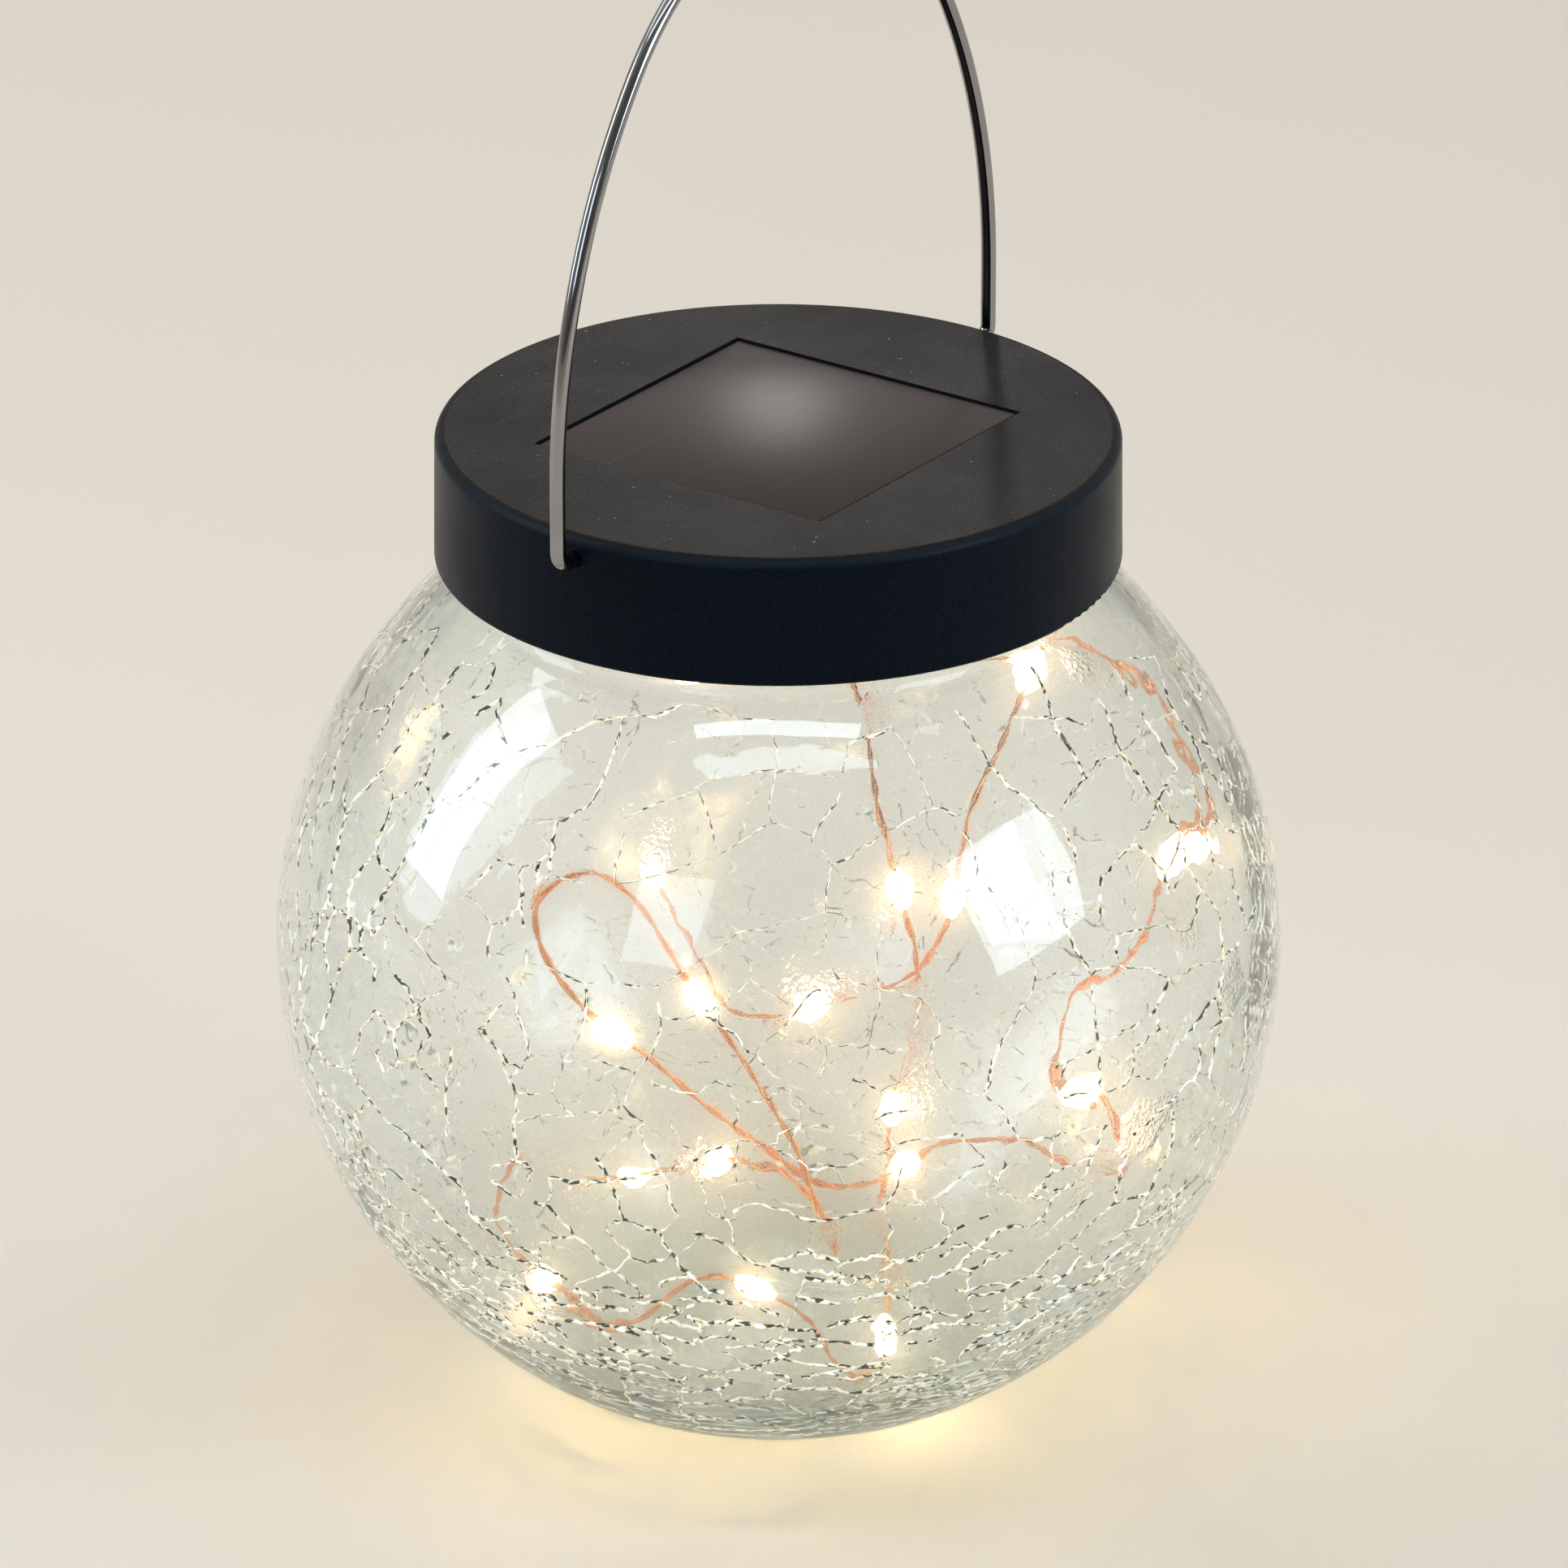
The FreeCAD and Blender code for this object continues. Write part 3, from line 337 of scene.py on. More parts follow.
def placed(tree, group, **inputs):
    """The outputs of a node group, put in a tree with these inputs."""
    made = add_node(tree, "ShaderNodeGroup", node_tree=group)
    for label, value in inputs.items():
        made.inputs[label.replace("_", " ")].default_value = value
    return made.outputs


def grain_effect():
    """Fine moulded grain over slow mottling."""
    inputs = {"Grain Scale": 2500.0, "Mottle Scale": 90.0}
    tree, given, out = effect("moulded_grain", inputs, ["Grain", "Mottle"])
    tree.links.new(noise_of(tree, given["Grain Scale"], 2.0), out["Grain"])
    tree.links.new(noise_of(tree, given["Mottle Scale"], 4.0), out["Mottle"])
    return tree


def dust_effect():
    """Specks of dust, each in its own cell, and faint scuffs."""
    inputs = {"Speck Scale": 420.0, "Speck Share": 0.12}
    tree, given, out = effect("dust_and_scuffs", inputs, ["Specks", "Scuffs"])
    cell_inputs = {"Vector": object_place(tree), "Scale": given["Speck Scale"]}
    cells = add_node(tree, "ShaderNodeTexVoronoi", cell_inputs)
    near = banded(tree, cells.outputs["Distance"], 0.06, 0.12, 1.0, 0.0)
    apart = add_node(tree, "ShaderNodeSeparateColor", {"Color": cells.outputs["Color"]})
    kept = sums(tree, "LESS_THAN", apart.outputs["Red"], given["Speck Share"])
    tree.links.new(sums(tree, "MULTIPLY", near, kept), out["Specks"])
    stretch = add_node(tree, "ShaderNodeMapping", {"Vector": object_place(tree)})
    stretch.inputs["Rotation"].default_value = (0.0, 0.0, 0.5)
    stretch.inputs["Scale"].default_value = (1.0, 6.0, 6.0)
    streaks = noise_of(tree, 60.0, 5.0, 0.7, stretch.outputs["Vector"])
    tree.links.new(banded(tree, streaks, 0.56, 0.8), out["Scuffs"])
    return tree


GRAIN = grain_effect()
DUST = dust_effect()


# Finishes

def passing_light(tree, shader, tint):
    """Lets lamps and soft light go straight through a clear shader, to reach what is behind it."""
    path = add_node(tree, "ShaderNodeLightPath")
    clear = add_node(tree, "ShaderNodeBsdfTransparent", {"Color": tint}).outputs["BSDF"]
    for kind in ("Is Diffuse Ray", "Is Shadow Ray"):
        mixed = add_node(tree, "ShaderNodeMixShader", {0: path.outputs[kind], 1: shader, 2: clear})
        shader = mixed.outputs["Shader"]
    tree.links.new(shader, tree.nodes["Material Output"].inputs["Surface"])


def crackle_glass_finish():
    """Clear glass: its inner face has slow ripples, frosted patches and a faint haze.

    The outer face is smooth; at the heel, where it is seen at a low angle, its colour darkens to green,
    partly as the tint of thick glass and partly as painted shade.
    """
    made, tree, shader = finish("crackle_glass", IOR=1.5, Transmission_Weight=1.0)
    place = object_place(tree)
    ends = {0: place, 1: tuple(GLOBE_CENTRE)}
    distance = add_node(tree, "ShaderNodeVectorMath", ends, operation="DISTANCE").outputs["Value"]
    height = add_node(tree, "ShaderNodeSeparateXYZ", {"Vector": place}).outputs["Z"]
    inside = banded(tree, distance, INNER_FACE_LIMIT, OUTER_FACE_LIMIT, 1.0, 0.0)
    grazed = add_node(tree, "ShaderNodeLayerWeight", {"Blend": 0.5}).outputs["Facing"]
    # Painted shade: low on the outer face, and at low angles, the colour is darkened to streaky green.
    # This is partly the tint of thick glass and partly stands in for dark surroundings seen in the glass
    low = banded(tree, height, HEEL_LOW, HEEL_HIGH, 1.0, 0.0)
    heel = sums(tree, "MULTIPLY", low, banded(tree, grazed, 0.2, 0.5))
    streaky_green_and_painted_shade = sums(tree, "MULTIPLY", heel, banded(tree, noise_of(tree, 45.0, 2.0), 0.4, 0.56, 0.3, 1.0))
    deep = sums(tree, "MULTIPLY", streaky_green_and_painted_shade, banded(tree, inside, 0.0, 1.0, 1.0, 0.0))
    feed(tree, shader, Base_Color=blended(tree, deep, colour(1.0, 1.0, 1.0), colour(0.03, 0.11, 0.105)))
    frosted = sums(tree, "MULTIPLY", banded(tree, noise_of(tree, 75.0, 2.0), 0.6, 0.68), inside)
    ripple = noise_of(tree, 110.0, 2.0)
    slow = sums(tree, "MULTIPLY", ripple, banded(tree, inside, 0.0, 1.0, 0.03, 0.14))
    fine = sums(tree, "MULTIPLY", noise_of(tree, 1700.0, 2.0), sums(tree, "MULTIPLY", frosted, 0.13))
    feed(tree, shader, Normal=raised(tree, sums(tree, "ADD", slow, fine), 1.0, 1.0 * MM))
    haze = banded(tree, noise_of(tree, 16000.0, 0.0), 0.555, 0.565, 0.02, 0.34)
    feed(tree, shader, Roughness=sums(tree, "MULTIPLY", inside, haze))
    passing_light(tree, shader.outputs["BSDF"], colour(0.9, 0.905, 0.895))
    body = {"Color": colour(0.62, 0.86, 0.79), "Density": 26.0}
    depth = add_node(tree, "ShaderNodeVolumeAbsorption", body)
    tree.links.new(depth.outputs["Volume"], tree.nodes["Material Output"].inputs["Volume"])
    return made


def crack_finish():
    """The faces of the cracks: painted silver, gold or nearly black by turns as painted glints and
    reflections, with a faint painted glow of their own.
    """
    made, tree, shader = finish(
        "crack_painted_glints", Roughness=0.25, IOR=1.5, Metallic=0.2, Emission_Strength=0.42,
    )
    # The ramp's silver, gold and near-black dashes are painted reflections, and the same colours glow
    # faintly as a painted glow
    line = add_node(tree, "ShaderNodeValToRGB", {"Fac": noise_of(tree, 1000.0, 1.0)})
    line.color_ramp.interpolation = "CONSTANT"
    stops = line.color_ramp.elements
    stops[0].position, stops[0].color = 0.0, colour(0.018, 0.026, 0.016)
    stops[1].position, stops[1].color = 0.41, colour(0.17, 0.17, 0.12)
    stops.new(0.455).color = colour(0.8, 0.8, 0.77)
    stops.new(0.5).color = colour(0.85, 0.66, 0.3)
    stops.new(0.55).color = colour(0.97, 0.98, 1.0)
    feed(tree, shader, Base_Color=line.outputs["Color"], Emission_Color=line.outputs["Color"])
    return made


def lid_finish():
    """Black plastic with dust and scuffs: its face is painted a lighter brown-grey and its wall a
    blue-black as painted light and reflection, and the wall's rounded edge is painted paler as a painted
    highlight.
    """
    made, tree, shader = finish("lid_plastic", Specular_IOR_Level=0.06)
    height = add_node(tree, "ShaderNodeSeparateXYZ", {"Vector": object_place(tree)}).outputs["Z"]
    # The top mask marks the flat face. The face is painted lighter and warmer than the wall as painted
    # light, and the dust and scuffs also keep to it
    top = banded(tree, height, LID_TOP - LID_EDGE / 4, LID_TOP - LID_EDGE / 24)
    # The edge mask marks the wall's rounded edge, which is painted a paler blue as a painted highlight
    edge = banded(tree, height, LID_TOP - LID_EDGE, LID_TOP - LID_EDGE / 2)
    grain = placed(tree, GRAIN, Grain_Scale=4200.0, Mottle_Scale=70.0)
    speckle = banded(tree, grain["Grain"], 0.35, 0.65)
    dust = placed(tree, DUST, Speck_Scale=700.0, Speck_Share=0.22)
    # The wall's speckle is real grain; its blue tint is a painted reflection
    wall = blended(tree, speckle, colour(0.0002, 0.0014, 0.0045), colour(0.0026, 0.0078, 0.016))
    # Painted highlight along the rounded edge
    side = blended(tree, edge, wall, colour(0.008, 0.0145, 0.021))
    # Painted light: the face is a warm brown-grey, lighter than the wall
    face = blended(tree, grain["Mottle"], colour(0.0055, 0.004, 0.0032), colour(0.0098, 0.0077, 0.0066))
    body = blended(tree, top, side, face)
    scuffs = sums(tree, "MULTIPLY", sums(tree, "MULTIPLY", dust["Scuffs"], top), 0.2)
    worn = blended(tree, scuffs, body, colour(0.08, 0.075, 0.07))
    clumps = sums(tree, "MULTIPLY", banded(tree, grain["Mottle"], 0.42, 0.56, 0.1, 0.8), top)
    dusty = blended(tree, sums(tree, "MULTIPLY", dust["Specks"], clumps), worn, colour(0.36, 0.36, 0.35))
    rough = banded(tree, grain["Mottle"], 0.3, 0.7, 0.3, 0.4)
    fine = raised(tree, grain["Grain"], 0.5, 0.1 * MM)
    feed(tree, shader, Base_Color=dusty, Roughness=rough, Normal=fine)
    return made


def panel_finish():
    """Four strips of dark cell under clear resin, which stands a little higher in the middle."""
    made, tree, shader = finish("solar_cell", Specular_IOR_Level=0.16)
    place = add_node(tree, "ShaderNodeSeparateXYZ", {"Vector": object_place(tree)}).outputs
    counted = sums(tree, "ADD", place["Y"], 10 * PANEL_STRIP)
    from_line = sums(tree, "PINGPONG", counted, PANEL_STRIP / 2)
    line = banded(tree, from_line, 0.1 * MM, 0.2 * MM, 1.0, 0.0)
    grain = placed(tree, GRAIN, Grain_Scale=900.0, Mottle_Scale=45.0)
    cell = blended(tree, grain["Mottle"], colour(0.027, 0.017, 0.0145), colour(0.041, 0.028, 0.0245))
    lined = blended(tree, sums(tree, "MULTIPLY", line, 0.2), cell, colour(0.1, 0.062, 0.045))
    rough = banded(tree, grain["Mottle"], 0.3, 0.7, 0.27, 0.31)
    spread = sums(tree, "ADD", sums(tree, "MULTIPLY", place["X"], place["X"]),
                  sums(tree, "MULTIPLY", place["Y"], place["Y"]))
    crown = sums(tree, "MULTIPLY", spread, -1 / (2 * PANEL_CROWN))
    feed(tree, shader, Base_Color=lined, Roughness=rough, Normal=raised(tree, crown, 1.0, 1.0))
    return made


def steel_finish():
    """Bright drawn wire with a faint cloud."""
    made, tree, shader = finish("bail_steel", Metallic=1.0)
    cloud = noise_of(tree, 90.0, 3.0)
    tone = blended(tree, cloud, colour(0.22, 0.22, 0.225), colour(0.36, 0.36, 0.365))
    rough = banded(tree, cloud, 0.3, 0.7, 0.06, 0.13)
    feed(tree, shader, Base_Color=tone, Roughness=rough, Normal=raised(tree, cloud, 0.2, 0.1 * MM))
    return made


def copper_finish():
    """Bare copper, red and gold by turns."""
    made, tree, shader = finish("copper_wire", Metallic=1.0)
    cloud = noise_of(tree, 160.0, 3.0)
    tone = blended(tree, cloud, colour(0.8, 0.19, 0.035), colour(1.0, 0.42, 0.11))
    rough = banded(tree, noise_of(tree, 700.0, 2.0), 0.3, 0.7, 0.22, 0.4)
    feed(tree, shader, Base_Color=tone, Roughness=rough)
    return made


def drop_finish():
    """Clear resin with a painted glow, standing in for the light inside it scattering through the resin.
    """
    # The emission is a painted glow of the resin itself; only the die is a lamp
    made, tree, shader = finish(
        "clear_resin", IOR=1.48, Roughness=0.18, Transmission_Weight=0.75,
        Emission_Color=colour(1.0, 0.84, 0.5), Emission_Strength=2.4,
    )
    cloud = noise_of(tree, 500.0, 2.0)
    feed(tree, shader, Base_Color=blended(tree, cloud, colour(1.0, 0.86, 0.6), colour(1.0, 0.96, 0.86)))
    passing_light(tree, shader.outputs["BSDF"], colour(1.0, 0.98, 0.94))
    return made


def die_finish():
    """The warm white light itself."""
    made, tree, shader = finish("light_die", Roughness=0.5, Emission_Strength=320.0)
    cloud = noise_of(tree, 900.0, 2.0)
    chip = blended(tree, cloud, colour(0.9, 0.75, 0.3), colour(0.95, 0.85, 0.5))
    glow = blended(tree, cloud, colour(1.0, 0.76, 0.36), colour(1.0, 0.83, 0.48))
    feed(tree, shader, Base_Color=chip, Emission_Color=glow)
    return made


def mottled(name, dark, light, scale, smooth, rough, metallic=0.0, bump=0.1):
    """A plain part's finish: two close shades, changing roughness and a fine surface."""
    made, tree, shader = finish(name, Metallic=metallic)
    grain = placed(tree, GRAIN, Grain_Scale=scale * 8, Mottle_Scale=scale)
    feed(
        tree, shader, Base_Color=blended(tree, grain["Mottle"], colour(*dark), colour(*light)),
        Roughness=banded(tree, grain["Mottle"], 0.3, 0.7, smooth, rough),
        Normal=raised(tree, grain["Grain"], bump, 0.1 * MM),
    )
    return made


LID_PLASTIC = lid_finish()
FINISHES = {
    "lid_shell": LID_PLASTIC,
    "base_cover": LID_PLASTIC,
    "battery_door": LID_PLASTIC,
    "solar_panel": panel_finish(),
    "bail_handle": steel_finish(),
    "neck_seal": mottled("seal_rubber", (0.5, 0.49, 0.46), (0.62, 0.61, 0.58), 300, 0.55, 0.7),
    "panel_tape": mottled("foam_tape", (0.6, 0.58, 0.55), (0.75, 0.73, 0.7), 600, 0.8, 0.95, 0.0, 0.4),
    "base_screws": mottled("steel_screw", (0.45, 0.44, 0.42), (0.6, 0.59, 0.57), 500, 0.25, 0.4, 1.0),
    "battery_cell": mottled("cell_wrap", (0.1, 0.28, 0.12), (0.13, 0.34, 0.15), 200, 0.25, 0.4),
    "plus_contact": mottled("contact_steel", (0.6, 0.58, 0.5), (0.72, 0.7, 0.62), 400, 0.2, 0.35, 1.0),
    "circuit_board": mottled("board_laminate", (0.02, 0.13, 0.05), (0.03, 0.18, 0.07), 300, 0.35, 0.5),
    "driver_chip": mottled("chip_plastic", (0.012, 0.012, 0.013), (0.03, 0.03, 0.03), 900, 0.5, 0.65),
    "inductor": mottled("ferrite", (0.03, 0.028, 0.026), (0.06, 0.055, 0.05), 700, 0.55, 0.75),
    "switch_body": mottled("switch_shell", (0.4, 0.39, 0.37), (0.55, 0.54, 0.52), 500, 0.25, 0.4, 1.0),
    "switch_slider": mottled("switch_knob", (0.02, 0.02, 0.02), (0.04, 0.04, 0.04), 700, 0.4, 0.55),
    "solar_leads": mottled("lead_sheath", (0.35, 0.02, 0.015), (0.45, 0.035, 0.025), 400, 0.4, 0.55),
    "string_gland": mottled("gland_rubber", (0.02, 0.02, 0.02), (0.045, 0.044, 0.042), 500, 0.6, 0.8),
}
FINISHES["minus_contact"] = FINISHES["plus_contact"]
FINISHES["battery_leads"] = FINISHES["string_leads"] = FINISHES["solar_leads"]


def dress_nodes():
    """Gives each node that keeps its solid a finish."""
    for name, material in FINISHES.items():
        node = frame["nodes"][name]
        if not node.data.materials:
            node.data.materials.append(material)
        for place in node.material_slots:
            place.material = material


def add_piece(piece, body, slot, material, *nodes):
    """Gives a new piece its body and finish, and hides the nodes that it stands for. Its slot is not used.
    """
    piece.data.materials.clear()
    piece.data.materials.append(material)
    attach(piece, body)
    if nodes:
        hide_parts(*nodes)


# The globe

def globe_outline():
    """The glass from the middle of its foot, up the outside, over the rim and down the inside."""
    centre = (0.0, GLOBE_CENTRE.z)
    points = metres(FOOT_OUTLINE)
    foot = -math.degrees(math.acos(HEEL_RADIUS / OUTER_RADIUS))
    shoulder = math.degrees(math.acos(SHOULDER_RADIUS / OUTER_RADIUS))
    points += arc(centre, OUTER_RADIUS, foot, shoulder, WALL_STEPS)
    points += metres(NECK_BEND) + [(NECK_RADIUS, NECK_FOOT)]
    points += arc((NECK_RADIUS - RIM_ROUND, NECK_TOP - RIM_ROUND), RIM_ROUND, 0, 90, 4)
    points += arc((NECK_BORE + RIM_ROUND, NECK_TOP - RIM_ROUND), RIM_ROUND, 90, 180, 4)
    points += [(NECK_BORE, BORE_MIDDLE), (NECK_BORE, BORE_FOOT)] + metres(BORE_BEND)
    inside_top = math.degrees(math.acos(INNER_SHOULDER_RADIUS / INNER_RADIUS))
    floor_edge = math.sqrt(INNER_RADIUS ** 2 - (GLOBE_CENTRE.z - FLOOR_LEVEL) ** 2)
    inside_foot = -math.degrees(math.acos((floor_edge + INNER_HEEL_REACH) / INNER_RADIUS))
    points += arc(centre, INNER_RADIUS, inside_top, inside_foot, WALL_STEPS)
    points += [(floor_edge + out, FLOOR_LEVEL + rise) for out, rise in metres(FLOOR_BEND)]
    points += [(radius, FLOOR_LEVEL) for radius in FLOOR_RINGS]
    return points


def thread_ridge():
    """The screw ridge on the neck: its section, screwed up round the Z axis."""
    clear_selection()
    bpy.ops.mesh.primitive_plane_add(size=MM)
    piece = bpy.context.active_object
    piece.name = "thread_ridge"
    for point, (reach, rise) in zip(piece.data.vertices, THREAD_SECTION):
        point.co = (NECK_RADIUS + reach * MM, 0.0, THREAD_START + rise * MM)
    shaping(piece)
    bpy.ops.mesh.delete(type="ONLY_FACE")
    shaped()
    applied(
        piece, "SCREW", angle=THREAD_ANGLE, screw_offset=THREAD_CLIMB, axis="Z",
        steps=THREAD_STEPS, render_steps=THREAD_STEPS, use_normal_calculate=True,
    )
    shaping(piece)
    bpy.ops.mesh.select_all(action="DESELECT")
    bpy.ops.mesh.select_non_manifold()
    bpy.ops.mesh.fill_holes(sides=4)
    bpy.ops.mesh.select_all(action="SELECT")
    bpy.ops.mesh.normals_make_consistent(inside=False)
    shaped()
    return piece


def share(value):
    """A value held between 0 and 1."""
    return min(max(value, 0.0), 1.0)


def globe():
    """The glass, with slow waves in its wall and the thread joined on."""
    piece = lathed("crackle_globe", globe_outline(), GLOBE_STEPS)
    blown = piece.vertex_groups.new(name="blown")
    for point in piece.data.vertices:
        low = share((point.co.z - WAVE_FOOT) / WAVE_FOOT_FADE)
        high = share((WAVE_NECK - point.co.z) / WAVE_NECK_FADE)
        blown.add([point.index], low * high, "REPLACE")
    waves = bpy.data.textures.new("blown_waves", "CLOUDS")
    waves.noise_scale = WAVE_SIZE
    waves.noise_depth = 1
    applied(
        piece, "DISPLACE", texture=waves, texture_coords="LOCAL", strength=-WAVE_DEPTH, mid_level=0.0,
        vertex_group="blown",
    )
    piece.vertex_groups.clear()
    ridge = thread_ridge()
    applied(piece, "BOOLEAN", object=ridge, operation="UNION", solver="EXACT")
    bpy.data.objects.remove(ridge)
    pick(piece)
    bpy.ops.object.shade_smooth_by_angle(angle=math.radians(30))
    add_piece(piece, "jar", "crackle_glass", GLASS, "glass_globe")


# The cracks in the glass

def cells_tree():
    """Turns points joined by triangles into cells, one round each point."""
    tree = bpy.data.node_groups.new("cells_round_points", "GeometryNodeTree")
    for side in ("INPUT", "OUTPUT"):
        tree.interface.new_socket("Geometry", in_out=side, socket_type="NodeSocketGeometry")
    start, end = tree.nodes.new("NodeGroupInput"), tree.nodes.new("NodeGroupOutput")
    cells = tree.nodes.new("GeometryNodeDualMesh")
    tree.links.new(start.outputs[0], cells.inputs[0])
    tree.links.new(cells.outputs[0], end.inputs[0])
    return tree


def on_globe(point, radius):
    """The nearest place in the glass at a radius, or as deep in the flat base."""
    place = GLOBE_CENTRE + (point - GLOBE_CENTRE).normalized() * radius
    place.z = max(place.z, CRACK_LOWEST + CRACK_OUTER - radius)
    return place


def flattened_low(point):
    """Moves a point along its meridian, so that the cells low on the globe are wide and flat."""
    out = (point - GLOBE_CENTRE).normalized()
    climbed = math.acos(max(-1.0, min(1.0, -out.z))) / math.pi
    moved = climbed + CRACK_SQUEEZE * math.sin(FULL_TURN * climbed + CRACK_SQUEEZE_PHASE)
    angle = math.pi * min(max(moved, 0.001), 0.999)
    level = math.hypot(out.x, out.y) or 1.0
    ring = math.sin(angle)
    turned = Vector((out.x / level * ring, out.y / level * ring, -math.cos(angle)))
    return GLOBE_CENTRE + turned * CRACK_OUTER


def sideways(mesh):
    """For each selected point of a line on the globe, the direction across the line."""
    across = {}
    ends = [[mesh.vertices[index] for index in edge.vertices] for edge in mesh.edges]
    for start, end in sorted(ends, key=lambda pair: tuple(pair[0].co + pair[1].co)):
        if start.select and end.select:
            run = end.co - start.co
            if run.dot(CRACK_FORWARD) < 0:
                run.negate()
            for point in (start, end):
                across[point.index] = (point.co - GLOBE_CENTRE).cross(run).normalized()
    return across


def steepness(mesh, edge):
    """How much of an edge's length goes upward, from 0 to 1."""
    start, end = (mesh.vertices[index].co for index in edge.vertices)
    return abs(end.z - start.z) / max((end - start).length, 0.01 * MM)


def crack_cells(name, seed):
    """The sides of irregular cells all over the globe: points scattered, thinned and joined into cells."""
    clear_selection()
    bpy.ops.mesh.primitive_ico_sphere_add(subdivisions=5, radius=CRACK_OUTER, location=GLOBE_CENTRE)
    piece = bpy.context.active_object
    piece.name = name
    settle(piece)
    shaping(piece)
    bpy.ops.transform.vertex_random(offset=CELL_SCATTER, uniform=1.0, normal=0.0, seed=seed - 6)
    bpy.ops.mesh.select_all(action="DESELECT")
    bpy.ops.mesh.select_random(ratio=CELL_LOSS, seed=seed - 8)
    bpy.ops.mesh.delete(type="VERT")
    shaped()
    for point in piece.data.vertices:
        point.co = on_globe(point.co, CRACK_OUTER)
    shaping(piece)
    bpy.ops.mesh.delete(type="EDGE_FACE")
    bpy.ops.mesh.select_all(action="SELECT")
    bpy.ops.mesh.convex_hull()
    shaped()
    applied(piece, "NODES", node_group=cells_tree())
    shaping(piece)
    bpy.ops.mesh.delete(type="ONLY_FACE")
    shaped()
    return piece


def crack_lines(piece, chance, top, steep_loss):
    """Keeps the lines below a level, leaves some of them out and makes the rest wander.

    Steep_loss is the further share of the upright lines that are left out.
    """
    for point in piece.data.vertices:
        point.co = flattened_low(point.co)
        point.select = point.co.z > top
    shaping_kept(piece)
    bpy.ops.mesh.delete(type="VERT")
    bpy.ops.mesh.select_all(action="DESELECT")
    shaped()
    for edge in piece.data.edges:
        edge.select = chance.random() < CRACK_LOSS + steep_loss * steepness(piece.data, edge)
    shaping_kept(piece, "EDGE")
    bpy.ops.mesh.delete(type="EDGE")
    bpy.ops.mesh.select_all(action="SELECT")
    bpy.ops.mesh.subdivide(number_cuts=4)
    shaped()
    for point in piece.data.vertices:
        shift = Vector([chance.uniform(-CRACK_JITTER, CRACK_JITTER) for axis in range(3)])
        drift = noise.noise_vector(point.co * CRACK_DRIFT_SCALE) * CRACK_DRIFT
        point.co = on_globe(point.co + shift + drift, CRACK_OUTER)


def crack_slivers(piece):
    """Turns the lines into thin slivers that stand in the glass, lean from side to side and have gaps."""
    shaping(piece)
    bpy.ops.mesh.extrude_region_move()
    shaped()
    for index, side in sideways(piece.data).items():
        point = piece.data.vertices[index]
        lean = max(-1.0, min(1.0, 3 * noise.noise(point.co * LEAN_SCALE))) * CRACK_LEAN
        depth = CRACK_DEPTH + CRACK_DEPTH_RANGE * noise.cell(point.co * DRAW_SCALE)
        point.co = on_globe(point.co + side * lean, CRACK_OUTER - depth)
    for face in piece.data.polygons:
        gap = noise.noise(face.center * GAP_SCALE + GAP_SHIFT)
        face.select = gap > GAP_LIMIT or noise.cell(face.center * DRAW_SCALE) < DRAW_LIMIT
    shaping_kept(piece, "FACE")
    bpy.ops.mesh.delete(type="FACE")
    bpy.ops.mesh.select_all(action="SELECT")
    bpy.ops.mesh.delete_loose(use_verts=True, use_edges=True, use_faces=False)
    shaped()
    applied(piece, "SOLIDIFY", thickness=CRACK_THICKNESS, offset=0.0)


def crackle(name, seed, top, steep_loss):
    """One net of cracks below a level."""
    chance = random.Random(seed)
    noise.seed_set(seed)
    piece = crack_cells(name, seed)
    crack_lines(piece, chance, top, steep_loss)
    crack_slivers(piece)
    add_piece(piece, "jar", "crackle_glass", CRACKS)


# The light string

def string_line():
    """The route's own smooth line, as points in metres."""
    line = bpy.data.curves.new("string_route", "CURVE")
    line.dimensions = "3D"
    line.resolution_u = 20
    run = line.splines.new("NURBS")
    run.points.add(len(STRING_ROUTE) - 1)
    for point, place in zip(run.points, STRING_ROUTE):
        point.co = (*(Vector(place) * MM), 1.0)
    run.order_u = 3
    run.use_endpoint_u = True
    holder = bpy.data.objects.new("string_route", line)
    mesh = bpy.data.meshes.new_from_object(holder)
    points = [point.co.copy() for point in mesh.vertices]
    bpy.data.objects.remove(holder)
    bpy.data.curves.remove(line)
    bpy.data.meshes.remove(mesh)
    return points


def strand(name, line, start_angle):
    """One of the two wires, laid round the string's line."""
    wire = bpy.data.curves.new(name, "CURVE")
    wire.dimensions = "3D"
    wire.bevel_depth = STRAND_RADIUS
    wire.bevel_resolution = 1
    wire.use_fill_caps = True
    run = wire.splines.new("POLY")
    run.points.add(len(line) - 1)
    ahead = (line[1] - line[0]).normalized()
    side = ahead.orthogonal().normalized()
    angle = start_angle
    for index, place in enumerate(line):
        after = line[min(index + 1, len(line) - 1)]
        before = line[max(index - 1, 0)]
        turned = (after - before).normalized()
        side = (side - turned * side.dot(turned)).normalized()
        angle += FULL_TURN * (place - before).length / STRAND_LAY
        off = side * math.cos(angle) + turned.cross(side) * math.sin(angle)
        run.points[index].co = (*(place + off * STRAND_RADIUS), 1.0)
    piece = bpy.data.objects.new(name, wire)
    bpy.context.scene.collection.objects.link(piece)
    return piece


def light_spots():
    """Places and directions of the lights: the middle of a run, where the line passes, and the tip."""
    for index in LIGHT_RUNS:
        start, end = Vector(STRING_ROUTE[index]), Vector(STRING_ROUTE[index + 1])
        yield (start + end) / 2 * MM, (end - start).normalized()
    start, end = Vector(STRING_ROUTE[-2]), Vector(STRING_ROUTE[-1])
    yield end * MM, (end - start).normalized()


